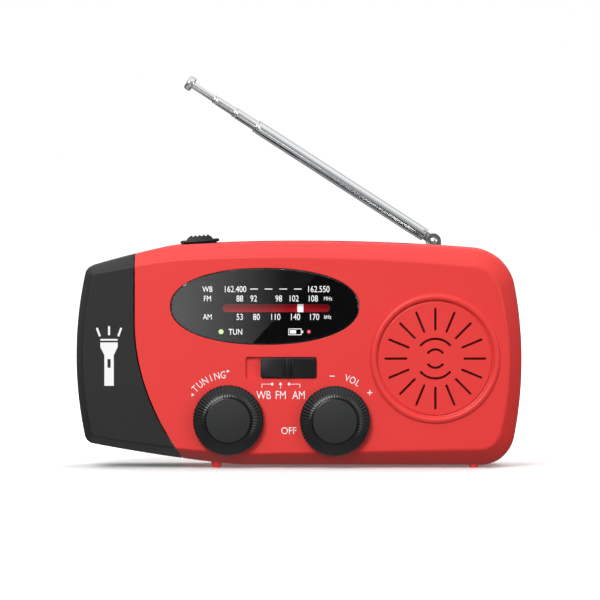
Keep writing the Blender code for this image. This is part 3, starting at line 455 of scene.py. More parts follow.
def case_outline(chamfer_share=0.0, wall=0.0, fine=FINE):
    """The case's outline in the XZ plane, drawn in by a share of each corner's chamfer and by a wall."""
    sharp = [Vector((c.x, c.z)) for c in CORNERS]
    count = len(CORNERS)
    inner, radii, turns = [], [], []
    for i, corner in enumerate(CORNERS):
        arriving, leaving = edge_direction(sharp, i - 1, 1), edge_direction(sharp, i, 0)
        normals = Vector((arriving.y, -arriving.x)), Vector((leaving.y, -leaving.x))
        inset = corner.chamfer * chamfer_share + wall
        inner.append(sharp[i] + (normals[0] + normals[1]) * (inset / (1 + normals[0].dot(normals[1]))))
        radii.append(max(corner.radius - 0.9 * inset, 0.25 * corner.radius, 0.6))
        turns.append(arriving.angle(leaving))
    points = []
    for i, corner in enumerate(CORNERS):
        before, here, after = inner[i - 1], inner[i], inner[(i + 1) % count]
        setback = radii[i] * math.tan(turns[i] / 2)
        start = bulged(before, here, CORNERS[i - 1].rise, 1 - setback / (here - before).length)
        end = bulged(here, after, corner.rise, setback / (after - here).length)
        handle = 4 / 3 * math.tan(turns[i] / 4) * radii[i]
        first = start + edge_direction(inner, i - 1, 1) * handle
        last = end - edge_direction(inner, i, 0) * handle
        for k in range(corner.turn_steps * fine + 1):
            t = k / (corner.turn_steps * fine)
            u = 1 - t
            points.append(start * u**3 + first * (3 * t * u * u) + last * (3 * t * t * u) + end * t**3)
        next_i = (i + 1) % count
        t0 = setback / (after - here).length
        t1 = 1 - radii[next_i] * math.tan(turns[next_i] / 2) / (after - here).length
        steps = corner.edge_steps * fine
        points += [bulged(here, after, corner.rise, t0 + (t1 - t0) * k / steps) for k in range(1, steps)]
    return points


def ring_at(y, chamfer_share, wall=0.0, fine=FINE):
    return [(p.x, y, p.y) for p in case_outline(chamfer_share, wall, fine)]


def front_rings():
    return [ring_at(FRONT_Y + depth, share) for depth, share in CHAMFER]


def rear_rings():
    return [ring_at(REAR_Y - depth, share) for depth, share in reversed(CHAMFER)]


def inner_ring(y, chamfer_share=0.0):
    return ring_at(y, chamfer_share, SIDE_WALL, 1)


def hollow_rings(face_y, inwards):
    """The hollow's rings from the inner side of one face inwards. inwards is 1 or -1 along Y."""
    stations = ((0.0, 0.75), (2.0, 0.3), (6.0, 0.0))
    return [inner_ring(face_y + inwards * (FACE_WALL + depth), share) for depth, share in stations]


def seam_side(shift, far_x):
    """A slab on one side of the seam, from the seam moved by shift along X out to far_x."""
    heights = [-5.0 + 2.35 * k for k in range(21)] + [75.0]
    seam = [(SEAM_TOP_X + shift + SEAM_CURVE * max(SEAM_BEND_Z - z, 0) ** 2, z) for z in heights]
    return prism(seam + [(far_x, heights[-1]), (far_x, heights[0])], -40.0, 40.0)


def foot(x, y):
    rings = []
    for z, half in ((0.0, 0.9), (0.25, 1.2), (3.0, 2.0)):
        outline = rounded_outline(-half, half, -2.5, 2.5, half * 0.6, 4)
        rings.append([(x + px, y + py, z) for px, py in outline])
    return loft(rings)


def ellipse(half_w, half_h):
    """A slightly squared ellipse round the dial's middle."""
    steps, power = 160, 2.2
    points = []
    for i in range(steps):
        c, s = math.cos(math.tau * i / steps), math.sin(math.tau * i / steps)
        x = math.copysign(abs(c) ** (2 / power), c)
        z = math.copysign(abs(s) ** (2 / power), s)
        points.append((DIAL_X + half_w * x, DIAL_Z + half_h * z))
    return points


def flared(outline_at, y0, y1, flare):
    """A cutter from in front of y0 down to y1, wider by flare where it breaks the surface at y0."""
    stations = ((y0 - 1.0, 2 * flare), (y0 + flare, 0.0), (y1, 0.0))
    return loft([[(x, y, z) for x, z in outline_at(wider)] for y, wider in stations])


def stadium(x0, x1, half, steps=6):
    """A long outline along X with round ends."""
    return arc((x1, 0), half, -90, 90, steps) + arc((x0, 0), half, 90, 270, steps)


def arc_outline(radius, first, side, half):
    """A curved slot from first degrees on to as far before the other end of a half circle."""
    ends = side + first, side + 180 - first
    return arc((0, 0), radius + half, *ends, 20) + arc((0, 0), radius - half, *ends[::-1], 20)


def grille_slots():
    """Through slots of the grille, with a slight chamfer: spokes outside, and arcs round the middle."""
    slots, end_y, flare = [], FRONT_Y + FACE_WALL + 2, 0.2
    there = Matrix.Translation((SPEAKER[0], 0, SPEAKER[1]))
    for i in range(SPOKES):
        spoke = flared(lambda wider: stadium(*SPOKE_R, SLOT_HALF_W + wider), FRONT_Y, end_y, flare)
        slots.append(moved(spoke, there @ Matrix.Rotation(math.tau * i / SPOKES, 4, "Y")))
    for radius, first in GRILLE_ARCS:
        for side in (0, 180):
            slot = flared(lambda wider: arc_outline(radius, first, side, SLOT_HALF_W + wider),
                          FRONT_Y, end_y, flare)
            slots.append(moved(slot, there))
    return slots


def at_screws(radius, y0, y1):
    """One round shape round the axis of every case screw."""
    return together(*[cylinder(radius, y0, y1, place, 24) for place in SCREW_PLACES])


def solar_pocket():
    return box(*SOLAR_X, *SOLAR_Y, SOLAR_RECESS_Z, 70.0)


def on_button(bm):
    return moved(bm, Matrix.Translation(BUTTON) @ Matrix.Rotation(math.radians(BUTTON_LEAN), 4, "Y"))


def button_hole():
    return on_button(box(-5.1, 5.1, -4.0, 4.0, -6.0, 3.0))


def front_shell():
    ring = [(GRILLE_RING_R + GRILLE_RING_HALF_W, FRONT_Y + 1.0)]
    for k in range(13):
        angle = math.pi * k / 12
        ring.append((GRILLE_RING_R + GRILLE_RING_HALF_W * math.cos(angle),
                     FRONT_Y - 0.02 - GRILLE_RING_HEIGHT * math.sin(angle)))
    ring.append((GRILLE_RING_R - GRILLE_RING_HALF_W, FRONT_Y + 1.0))
    groove_r = (16.15, 16.75)
    groove = [(groove_r[0], FRONT_Y - 1.0), (groove_r[1], FRONT_Y - 1.0), (groove_r[1], FRONT_Y + 0.35),
              (sum(groove_r) / 2, FRONT_Y + 0.45), (groove_r[0], FRONT_Y + 0.35)]
    hollow = loft(hollow_rings(FRONT_Y, 1) + [inner_ring(SPLIT_Y + 2)])
    middle = sum(SLIDER_X) / 2
    holes = together(
        box(middle - 1.5 - BAND_TRAVEL, middle + 1.5, -25.0, -10.0, 27.8, 30.1),
        *[cylinder(SHAFT_HOLE_R, -25.0, -10.0, place) for place in (TUNING, VOLUME)],
        at_screws(SCREW_HOLE_R, -6.0, 10.0),
        button_hole(),
        solar_pocket(),
    )
    shell = combined(
        loft(front_rings() + [ring_at(SPLIT_Y - 0.5, 0.0), ring_at(SPLIT_Y - GAP / 2, 0.03)]),
        (CUT, turn(groove, 128, SPEAKER)),
        (JOIN, turn(ring, 128, SPEAKER)),
        (JOIN, together(*[foot(x, FOOT_Y[0]) for x in FOOT_X])),
        (CUT, cut(hollow, at_screws(BOSS_R, -20.0, 8.0))),
        (CUT, seam_side(SEAM_GAP / 2, -90.0)),
        (CUT, flared(lambda w: ellipse(DIAL_HALF_W + w, DIAL_HALF_H + w), FRONT_Y, -10.0, 0.3)),
        (CUT, prism(ellipse(DIAL_HALF_W + 1.6, DIAL_HALF_H + 1.5), FRONT_Y + 1.7, -10.0)),
        (CUT, flared(
            lambda w: rounded_outline(BAND_X[0] - w, BAND_X[1] + w, BAND_Z[0] - w, BAND_Z[1] + w, 0.7 + w),
            FRONT_Y, FRONT_Y + BAND_DEPTH, 0.15)),
        (CUT, holes),
        (CUT, together(*grille_slots())),
    )
    made = add("red_front_shell", shell, RED, stands_for=("front_shell",))
    made.visible_glossy = False


def speaker_cloth_painted_shade():
    """A thin felt between the grille and the cone. Its dark red is painted shade: it stands for the dim
    inside of the case, lit red by bounce, as seen through the slots.
    """
    cloth = [(0, -16.45), (14.6, -16.45), (15.0, -16.4), (15.0, -16.3), (0, -16.3)]
    add("speaker_cloth_painted_shade", turn(cloth, 96, SPEAKER), CLOTH_PAINTED_SHADE)


def rear_shell():
    kept = [
        cylinder(RECESS_R + RECESS_WALL, RECESS_FLOOR_Y - RECESS_WALL, 30.0, CRANK, 64),
        box(-70.0, 70.0, LEDGE_Y - 1.9, 30.0, LEDGE_Z - 1.9, 80.0),
        box(PORT_X[0] - 1.5, PORT_X[1] + 0.8, REAR_Y - 3.0, 30.0, PORT_Z[0] - 1.5, PORT_Z[1] + 1.5),
    ]
    hollow = loft([inner_ring(SPLIT_Y - 2)] + hollow_rings(REAR_Y, -1)[::-1])
    recess = [(0, RECESS_FLOOR_Y), (RECESS_R - 1.2, RECESS_FLOOR_Y), (RECESS_R - 0.35, RECESS_FLOOR_Y + 0.35),
              (RECESS_R, RECESS_FLOOR_Y + 1.2), (RECESS_R, REAR_Y - 0.8), (RECESS_R + 0.25, REAR_Y - 0.25),
              (RECESS_R + 0.9, REAR_Y + 0.02), (RECESS_R + 0.9, 30.0), (0, 30.0)]
    holes = together(
        cylinder(3.0, 8.0, 16.0, CRANK),
        stood_up(cylinder(2.9, 50.0, 70.0), (HINGE[0], HINGE[1], 0)),
        *[box(x0, x1, 10.0, 30.0, z0, z1) for x0, x1, z0, z1 in PORT_HOLES],
        at_screws(SCREW_HOLE_R, -8.0, 30.0),
        solar_pocket(),
    )
    shell = combined(
        loft([ring_at(SPLIT_Y + GAP / 2, 0.03), ring_at(SPLIT_Y + 0.5, 0.0)] + rear_rings()),
        (CUT, box(-80.0, 80.0, LEDGE_Y, 40.0, LEDGE_Z, 80.0)),
        (JOIN, together(*[foot(x, FOOT_Y[1]) for x in FOOT_X])),
        (CUT, cut(hollow, *kept, at_screws(BOSS_R, -8.0, 26.0))),
        (CUT, seam_side(SEAM_GAP / 2, -90.0)),
        (CUT, turn(recess, 128, CRANK)),
        (CUT, prism(rounded_outline(*PORT_X, *PORT_Z, 0.3), REAR_Y - PORT_DEPTH, 30.0)),
        (CUT, holes),
        (CUT, at_screws(SCREW_HEAD_R, 17.0, 30.0)),
    )
    made = add("red_rear_shell", shell, RED, stands_for=("rear_shell",))
    made.visible_glossy = False
    rings = []
    for radius in (11.5, 15.7, 19.9):
        section = ((0.0, 0.05), (0.0, -0.5), (0.9, -0.5), (0.9, 0.05), (0.7, 0.22), (0.2, 0.22))
        rings.append(turn([(radius + out, RECESS_FLOOR_Y + up) for out, up in section], 96, CRANK))
    add("recess_rings", together(*rings), RED)


def seam_lip():
    """The rib inside the joint between the two shells, which keeps light out of it."""
    lip = combined(
        loft([ring_at(SPLIT_Y + side, 0.0, 1.0) for side in (-0.6, 0.6)]),
        (CUT, loft([ring_at(SPLIT_Y + side, 0.0, 2.2) for side in (-1.2, 1.2)])),
        (CUT, seam_side(SEAM_GAP / 2, -90.0)),
        (CUT, together(button_hole(), solar_pocket())),
    )
    add("shell_seam_lip", lip, RED)


def on_torch(bm):
    return laid_over(bm, (0, TORCH_Y, TORCH_Z))


def end_cap():
    cap = combined(
        loft(front_rings() + rear_rings()),
        (CUT, loft(hollow_rings(FRONT_Y, 1) + hollow_rings(REAR_Y, -1)[::-1])),
        (CUT, seam_side(-SEAM_GAP / 2, 90.0)),
        (CUT, on_torch(cylinder(TORCH_R + GAP, -80.0, -55.0, steps=96))),
    )
    add("black_end_cap", cap, CAP, stands_for=("end_cap",))
    bezel = [(11.2, -61.0), (11.35, -63.3), (11.7, -63.75), (12.4, -63.75), (12.9, -63.4), (13.1, -62.8),
             (13.1, -61.0)]
    add("torch_bezel", on_torch(turn(bezel, 96)), TRIM)


# ---- dial ----


def dial():
    lens = plate(lambda d: ellipse(DIAL_HALF_W - 0.1 - d, DIAL_HALF_H - 0.1 - d),
                 FRONT_Y + 0.1, FRONT_Y + 1.3, 0.35)
    window = add("dial_window", lens, LENS, stands_for=("dial_lens",), sharp=5.0)
    window.visible_shadow = False
    slot = stadium(SLOT_X[0] + SLOT_HALF_H, SLOT_X[1] - SLOT_HALF_H, SLOT_HALF_H, 16)
    slot_cutter = prism([(x, z + SLOT_Z) for x, z in slot], -20.0, -10.0)
    lamp_holes = [cylinder(0.72, -20.0, -10.0, (x, INDICATOR_Z), 32) for x in INDICATOR_X]
    mask = prism(ellipse(DIAL_HALF_W + 1.2, DIAL_HALF_H + 1.1), MASK_Y, MASK_Y + 0.9)
    mask = cut(mask, slot_cutter, together(*lamp_holes))
    add("dial_plate", mask, PRINT, stands_for=("dial_mask",))


def knob(name, node, body, place):
    front, back = -23.0, FRONT_Y - GAP
    # Radius, place along Y, and how deep the ribs are cut there.
    profile = [
        (0, front + 1.4, 0), (1.8, front + 1.4, 0), (1.8, back, 0), (9.7, back, 0), (10.05, back - 0.15, 0.1),
        (10.2, back - 0.5, 0.22), (10.2, back - 1.75, 0.22), (10.05, back - 2.1, 0.24),
        (9.75, back - 2.35, 0.28), (9.45, back - 2.5, 0.3), (9.2, back - 2.75, 0.3), (8.4, back - 3.3, 0.28),
        (7.5, back - 3.72, 0.2), (7.0, back - 3.86, 0.1), (6.72, back - 3.9, 0), (6.6, back - 3.78, 0),
        (6.5, back - 3.8, 0), (6.4, front + 0.1, 0), (6.1, front + 0.02, 0), (5.6, front, 0),
        (3.0, front + 0.04, 0), (0, front + 0.06, 0),
    ]  # fmt: skip
    add(name, fluted(profile, 480, 60, place), KNOB, body, (node,), sharp=50)
    face = [(0, front - 0.06), (6.05, front - 0.06), (6.25, front), (6.25, front + 0.12), (0, front + 0.12)]
    add(f"{name}_face", turn(face, 96, place), KNOB_FACE, body)


def band_slider():
    low, high = BAND_Z[0] + GAP, BAND_Z[1] - GAP
    back = FRONT_Y + BAND_DEPTH - GAP
    rings = []
    for d, y in ((0.2, FRONT_Y - 0.3), (0.05, FRONT_Y - 0.24), (0.0, FRONT_Y - 0.05), (0.0, back)):
        outline = rounded_outline(SLIDER_X[0] + d, SLIDER_X[1] - d, low + d, high - d, 0.5)
        rings.append([(x, y, z) for x, z in outline])
    middle = sum(SLIDER_X) / 2
    ridges = [rounded_box(middle - 0.7, middle + 0.7, FRONT_Y - 1.3, FRONT_Y, low + 0.2, high - 0.2, 0.25),
              box(middle - 1.2, middle + 1.2, FRONT_Y, -14.8, 28.1, 29.8)]
    for x in (middle - 1.25, middle + 1.25):
        ridges.append(rounded_box(x - 0.15, x + 0.15, FRONT_Y - 0.5, FRONT_Y, low + 0.5, high - 0.5, 0.1, 2))
    notch = box(middle - 0.12, middle + 0.12, FRONT_Y - 2.0, FRONT_Y - 1.05, low, high)
    slider = cut(joined(loft(rings), *ridges), notch)
    add("band_slider_cap", slider, TRIM, "band_selector", ("band_slider",))


def torch_button():
    bezel = cut(
        joined(rounded_box(-5.6, 5.6, -4.5, 4.5, 0.3, 1.2, 0.4), box(-4.8, 4.8, -3.7, 3.7, -3.4, 0.6)),
        box(-4.0, 4.0, -2.9, 2.9, -6.0, 3.0),
    )
    add("button_surround", on_button(bezel), TRIM, stands_for=("button_bezel",))
    button = joined(
        rounded_box(-3.7, 3.7, -2.6, 2.6, -3.2, 1.8, 0.35),
        rounded_box(-3.3, 3.3, -2.2, 2.2, 1.0, 2.15, 0.3),
        *[rounded_box(-2.75 + 1.2 * k, -2.05 + 1.2 * k, -1.8, 1.8, 1.0, 2.45, 0.2, 2) for k in range(5)],
    )
    add("torch_button_cap", on_button(button), TRIM, "torch_switch_button", ("torch_button",))


# ---- lettering ----

INK = 0.02  # how far the print stands out


def text_mesh(words):
    curve = bpy.data.curves.new("words", "FONT")
    curve.body = words
    curve.align_x = "CENTER"
    curve.resolution_u = 6
    obj = new_object("words", curve)
    bpy.context.view_layer.update()
    mesh = bpy.data.meshes.new_from_object(obj.evaluated_get(bpy.context.evaluated_depsgraph_get()))
    bpy.data.objects.remove(obj)
    bpy.data.curves.remove(curve)
    return mesh


def capital_height():
    mesh = text_mesh("H")
    height = max(v.co.y for v in mesh.vertices)
    bpy.data.meshes.remove(mesh)
    return height


CAPITAL = capital_height()


def words_at(words, x, z, height, y, lean=0.0, narrow=0.8):
    """Thin raised lettering on the plane at y. lean turns it about its middle, in degrees."""
    mesh = text_mesh(words)
    flat = bmesh.new()
    flat.from_mesh(mesh)
    bpy.data.meshes.remove(mesh)
    scale = height / CAPITAL
    bmesh.ops.transform(flat, matrix=Matrix.Diagonal((scale * narrow, scale, scale, 1.0)), verts=flat.verts)
    bmesh.ops.translate(flat, vec=(0.0, -height / 2, 0.0), verts=flat.verts)
    bmesh.ops.remove_doubles(flat, verts=flat.verts, dist=0.001)
    grown = bmesh.ops.extrude_face_region(flat, geom=flat.faces[:])
    raised = [v for v in grown["geom"] if isinstance(v, bmesh.types.BMVert)]
    bmesh.ops.translate(flat, vec=(0, 0, INK), verts=raised)
    place = Matrix.Translation((x, y, z)) @ Matrix.Rotation(math.pi / 2, 4, "X")
    return moved(solid(flat), place @ Matrix.Rotation(math.radians(lean), 4, "Z"))


def bar(x0, x1, z0, z1, y):
    return box(x0, x1, y - INK, y, z0, z1)


def dial_scale():
    y, height, small = MASK_Y - 0.01, 1.75, 1.1
    wb_row, fm_row, am_row = 51.6, 48.9, 43.6
    names = [("WB", wb_row), ("FM", fm_row), ("AM", am_row)]
    numbers = [
        (wb_row, (("162.400", -18.6), ("162.550", 5.4))),
        (fm_row, (("88", -17.2), ("92", -13.2), ("98", -6.0), ("102", -1.7), ("108", 3.8))),
        (am_row, (("53", -17.2), ("80", -12.4), ("110", -7.0), ("140", -1.3), ("170", 4.2))),
    ]
    parts = [words_at(name, -26.5, z, height * 0.9, y) for name, z in names]
    for z, row in numbers:
        parts += [words_at(number, x, z, height, y) for number, x in row]
    parts += [bar(x, x + 2.2, wb_row - 0.1, wb_row + 0.15, y) for x in (-14.2, -10.0, -5.8, -1.6)]
    parts += [words_at("MHz", 8.2, fm_row, small, y), words_at("kHz", 8.1, am_row, small, y)]
    parts.append(words_at("TUN", -18.4, INDICATOR_Z, height * 0.95, y))
    line = 0.2
    left, right, low, high = -3.2, 0.6, 38.35, 40.25
    battery = (
        (left, right, high - line, high),
        (left, right, low, low + line),
        (left, left + line, low + line, high - line),
        (right - line, right, low + line, high - line),
        (right + 0.15, right + 0.45, low + 0.6, high - 0.6),
        (left + 0.45, left + 2.2, low + 0.45, high - 0.45),
    )
    parts += [bar(*extent, y) for extent in battery]
    add("dial_lettering", together(*parts), SCALE_PRINT_PAINTED_GLOW)


def on_arc(letters, place, radius, first, last, height, y):
    """Letters round a knob, from one angle to another."""
    parts = []
    for i, letter in enumerate(letters):
        angle = first + (last - first) * i / (len(letters) - 1)
        parts.append(words_at(letter, *polar(place, radius, angle), height, y, angle - 90))
    return parts


def wedge(place, size, y, lean):
    """A small arrowhead."""
    return prism([polar(place, size, lean + 120 * k) for k in range(3)], y - INK, y)


def front_legends():
    y = FRONT_Y - 0.01
    parts = on_arc("TUNING", TUNING, 13.15, 136.5, 96.5, 2.0, y)
    parts += [wedge(polar(TUNING, 12.6, 144.5), 0.55, y, 235), wedge(polar(TUNING, 14.1, 90.5), 0.55, y, 0)]
    parts += on_arc("VOL", VOLUME, 12.8, 74, 59, 1.9, y)
    reach, half = 0.75, 0.14  # of the minus and plus signs
    for angle in (93.5, 39):
        x, z = polar(VOLUME, 12.9, angle)
        parts.append(bar(x - reach, x + reach, z - half, z + half, y))
    parts.append(bar(x - half, x + half, z + half, z + reach, y))
    parts.append(bar(x - half, x + half, z - reach, z - half, y))
    parts.append(words_at("OFF", -3.1, 10.9, 1.95, y, narrow=0.9))
    for x, words in ((-10.3, "WB"), (-5.4, "FM"), (-0.2, "AM")):
        parts.append(words_at(words, x, 21.15, 2.3, y, narrow=0.78))
    parts += [cylinder(0.42, y - INK, y, (x, 24.3), 20) for x in (-7.9, -5.45, -3.0)]
    pointers = ((-10.9, -8.5, 24.2, 24.38), (-10.9, -10.72, 23.2, 24.2), (-2.4, 0.2, 24.2, 24.38),
                (0.02, 0.2, 23.2, 24.2), (-5.54, -5.36, 23.0, 23.7))
    parts += [bar(*extent, y) for extent in pointers]
    add("front_lettering", together(*parts), LEGEND)


def torch_pictogram():
    """A generic hand torch with three rays, standing upright on the cap."""
    y, x, z = FRONT_Y - 0.01, -54.8, 32.4
    body = [(-1.35, -8.6), (1.35, -8.6), (1.35, 0.2), (2.5, 2.6), (2.5, 3.9), (-2.5, 3.9), (-2.5, 2.6),
            (-1.35, 0.2)]
    switch = box(x - 0.45, x + 0.45, y - 1.0, y + 1.0, z - 3.4, z - 0.9)
    parts = [cut(prism([(x + px, z + pz) for px, pz in body], y - INK, y), switch)]
    parts.append(bar(x - 2.5, x + 2.5, z + 4.4, z + 4.9, y))
    for px, lean in ((-0.575, -20), (0.0, 0), (0.575, 20)):
        there = Matrix.Translation((x + px, 0, z)) @ Matrix.Rotation(math.radians(lean), 4, "Y")
        parts.append(moved(bar(-0.3, 0.3, 6.0, 8.6, y), there))
    add("torch_pictogram", together(*parts), LEGEND)


# ---- solar panel ----


def solar_panel():
    tray = cut(
        rounded_box(-20.0, 32.0, -8.0, 9.7, 63.3, 64.5, 0.25),
        box(-18.9, 30.9, -6.9, 8.6, 64.15, 66.0),
    )
    add("solar_tray", tray, TRIM, stands_for=("solar_panel",))
    cells, fingers = [], []
    for k in range(6):
        x0 = -18.5 + 8.2 * k
        cells.append(box(x0, x0 + 7.9, -6.6, 8.3, 64.1, 64.22))
        for y in (-3.0, 4.7):
            fingers.append(box(x0, x0 + 7.9, y - 0.25, y + 0.25, 64.22, 64.25))
        for j in range(8):
            x = x0 + 0.7 + 0.92 * j
            fingers.append(box(x - 0.04, x + 0.04, -6.4, 8.1, 64.22, 64.235))
    add("solar_cells", together(*cells), CELLS)
    add("solar_fingers", together(*fingers), SILVER)
    add("solar_cover", box(-18.88, 30.88, -6.88, 8.58, 64.27, 64.44), RESIN)


# ---- antenna ----


def on_antenna(bm):
    lean = Matrix.Rotation(math.radians(-(90 - ANTENNA_RAISED)), 4, "Y")
    return moved(bm, Matrix.Translation(HINGE) @ lean)


def antenna_tube(outer, inner, start, end, lip, floor=None):
    """A section of the antenna along +Z, rolled in at its far end. With a floor it is closed below it."""
    shape = [
        (outer - 0.08, start), (outer, start + 0.1), (outer, end - 1.5), (outer - 0.02, end - 1.2),
        (outer - 0.1, end - 0.9), (outer - 0.1, end - 0.6), (outer, end - 0.4), (outer - 0.03, end - 0.12),
        (outer - 0.12, end), (lip, end), (lip, end - 0.3), (inner, end - 0.8),
    ]  # fmt: skip
    if floor is None:
        shape = [(inner, start)] + shape
    else:
        shape = [(0, start)] + shape + [(inner, floor), (0, floor)]
    return stood_up(turn(shape, 48))


def antenna_base():
    there = Matrix.Translation(HINGE)
    ear_r, ear_in, ear_out = 2.2, 1.95, 3.1
    stem = [(0, -9.0), (3.1, -9.0), (3.1, -8.1), (2.6, -8.1), (2.6, -4.3), (3.55, -4.3), (3.7, -4.15),
            (3.7, -2.5), (3.5, -2.3), (0, -2.3)]
    swivel = stood_up(turn(stem, 64))
    ear = [(-ear_r, -2.8)] + arc((0, 0), ear_r, 180, 0, 24) + [(ear_r, -2.8)]
    for y0, y1 in ((-ear_out, -ear_in), (ear_in, ear_out)):
        swivel = joined(swivel, prism(ear, y0, y1))
    swivel = moved(cut(swivel, cylinder(PIN_BORE_R, -9.0, 9.0)), there)
    add("antenna_clevis", swivel, CHROME, "antenna_base", ("antenna_swivel",), bevel=0.12)
    rivet = [(0, -3.75), (0.5, -3.7), (0.95, -3.45), (1.1, -3.12), (0.85, -3.12), (0.6, -2.6), (0, -2.6)]
    add("antenna_rivet", moved(turn(rivet, 32), there), STEEL, "antenna_base")


def add_section(name, bm, number, node):
    add(name, on_antenna(bm), CHROME, f"antenna_section_{number}", (node,))


def antenna_sections():
    first = joined(
        cylinder(1.9, -1.65, 1.65, steps=64),
        box(-1.3, 1.3, -1.65, 1.65, 0.6, 4.2),
        antenna_tube(1.9, 1.6, 3.0, 62.0, 1.56, 5.4),
    )
    add_section("antenna_section_1_tube", cut(first, cylinder(PIN_BORE_R, -9.0, 9.0)), 1, "antenna_tube_1")
    sizes = ((2, 1.5, 1.33, 1.28, 13.2, 69.6), (3, 1.23, 1.03, 0.98, 19.4, 76.6))
    for k, outer, inner, lip, start, end in sizes:
        tube = antenna_tube(outer, inner, start, end, lip)
        add_section(f"antenna_section_{k}_tube", tube, k, f"antenna_tube_{k}")
    rod = [(0, 26.9), (0.85, 26.9), (0.93, 27.1), (0.93, 84.2), (0, 84.2)]
    add_section("antenna_rod_bar", stood_up(turn(rod, 48)), 4, "antenna_rod")
    tip = [(1.1, 83.7), (1.75, 83.7), (1.95, 83.8), (2.07, 84.0), (2.1, 84.3), (2.1, 85.1), (2.05, 85.4),
           (1.85, 85.7), (1.5, 85.86), (0, 85.9), (0, 84.4), (1.1, 84.4)]
    add_section("antenna_button_tip", stood_up(turn(tip, 48)), 4, "antenna_tip")


# ---- crank ----


def crank():
    there = Matrix.Translation((CRANK[0], 0, CRANK[1]))
    end_x = -CRANK_REACH
    hub = [(0, RECESS_FLOOR_Y + GAP), (6.8, RECESS_FLOOR_Y + GAP), (6.8, 19.6), (6.4, 20.0), (0, 20.0)]
    arm = combined(
        prism(rounded_outline(end_x - 2.2, 3.0, -6.2, 6.2, 2.0), 14.0, 20.0),
        (JOIN, turn(hub, 96)),
        (CUT, box(end_x - 9.0, -6.2, 10.0, 30.0, -3.9, 3.9)),
        (CUT, cylinder(2.3, 0.0, 18.0)),
        (CUT, stood_up(cylinder(1.0, -20.0, 20.0), (end_x, GRIP_Y, 0))),
    )
    add("crank_lever", moved(arm, there), TRIM, "crank", ("crank_arm",), bevel=0.35)
    cap = [(0, 20.3), (5.8, 20.3), (6.0, 20.5), (6.0, 21.4), (5.85, 21.75), (5.4, 22.2), (4.8, 22.55),
           (3.8, 22.85), (2.4, 23.0), (0, 23.0)]
    add("crank_hub_cap", moved(turn(cap, 96), there), CRANK_CHROME, "crank", ("crank_cap",))
    # Radius, place along the sleeve, and how deep the grooves are there.
    sleeve = [
        (1.6, 2.6, 0), (2.6, 2.6, 0), (2.95, 2.85, 0), (3.2, 3.3, 0), (3.25, 3.9, 0.15), (3.1, 5.2, 0.25),
        (3.0, 7.0, 0.25), (3.0, 9.0, 0.25), (3.1, 11.5, 0.25), (3.25, 13.4, 0.2), (3.28, 15.0, 0.1),
        (3.15, 15.9, 0), (2.9, 16.3, 0), (2.5, 16.4, 0), (2.5, 15.2, 0), (1.6, 15.2, 0),
    ]  # fmt: skip
    grip = moved(laid_over(fluted(sleeve, 144, 18), (end_x, GRIP_Y, 0)), there)
    add("crank_grip_sleeve_body", grip, TRIM, "crank_grip_sleeve", ("crank_grip",), sharp=45)


# ---- ports ----


def port_cover():
    hinge_r = 0.45
    x, y = PORT_X[0] + GAP + hinge_r, REAR_Y - hinge_r
    far = PORT_X[1] - PORT_X[0] - 2 * GAP - hinge_r
    z0, z1 = PORT_Z[0] + GAP, PORT_Z[1] - GAP
    barrel = stood_up(cylinder(hinge_r, z0, z1, steps=32), (x, y, 0))
    flap = rounded_box(x, x + far, y - hinge_r, y + hinge_r, z0, z1, 0.2, 3)
    ribs = [rounded_box(end - 0.5, end, y, y + hinge_r + 0.25, z0 + 6.0, z1 - 6.0, 0.12, 2)
            for end in (x + far - 0.7, x + far - 1.7)]
    add("port_flap_cover", joined(flap, barrel, *ribs), RUBBER, "port_flap", ("port_cover",))


# ---- frame nodes that stay ----

KEPT = [
    (REFLECTOR, "torch_reflector"),
    (LENS, "torch_lens"),
    (LAMP, "torch_led"),
    (BOARD, "torch_board main_board port_board"),
    (BACKPLATE_PAINTED_GLOW, "dial_backplate"),
    (GREEN, "tuning_led"),
    (RED_LAMP, "charge_led"),
    (WHITE, "tuning_capacitor"),
    (POINTER_PAINTED_GLOW, "dial_pointer"),
    (STEEL, "volume_pot band_switch speaker_frame generator gearbox_plate usb_socket micro_usb_socket"),
    (STEEL, "case_screw_1 case_screw_2 case_screw_3 case_screw_4 volume_shaft antenna_pin crank_shaft"),
    (STEEL, "crank_hinge_pin crank_spindle rotor_pinion"),
    (PAPER, "speaker_cone"),
    (FERRITE, "speaker_magnet ferrite_rod"),
    (TRIM, "torch_switch"),
    (WRAP, "battery_cell"),
    (COPPER, "antenna_coil"),
    (NYLON, "tuning_pinion capacitor_gear drive_gear idler_gear_1 idler_gear_2"),
]


def kept_nodes():
    for material, names in KEPT:
        for name in names.split():
            node = nodes[name]
            node.data.materials.clear()
            node.data.materials.append(material)
    nodes["torch_lens"].visible_shadow = False


# ---- studio ----

VIEW_WIDTH = 172.6  # across the picture, at the face
VIEW_CENTRE = (0.14, FRONT_Y, 48.5)
VIEW_HEIGHT_ANGLE = 1.2
LENS_LENGTH, SENSOR = 400.0, 36.0
CARD_Y = -320.0


def camera():
    distance = VIEW_WIDTH * MM * LENS_LENGTH / SENSOR
    angle = math.radians(VIEW_HEIGHT_ANGLE)
    back = Vector((0, -math.cos(angle), math.sin(angle)))
    data = bpy.data.cameras.new("camera")
    data.lens, data.sensor_width = LENS_LENGTH, SENSOR
    data.clip_start, data.clip_end = 0.05, 50.0
    obj = new_object("camera", data)
    obj.location = Vector(VIEW_CENTRE) * MM + back * distance
    obj.rotation_euler = (-back).to_track_quat("-Z", "Y").to_euler()
    scene.camera = obj


def area_light(name, place, target, size, power):
    data = bpy.data.lights.new(name, "AREA")
    data.shape = "RECTANGLE"
    data.size, data.size_y = size
    data.energy = power
    obj = new_object(name, data)
    obj.location = place
    obj.rotation_euler = (Vector(target) - Vector(place)).to_track_quat("-Z", "Y").to_euler()
    return obj


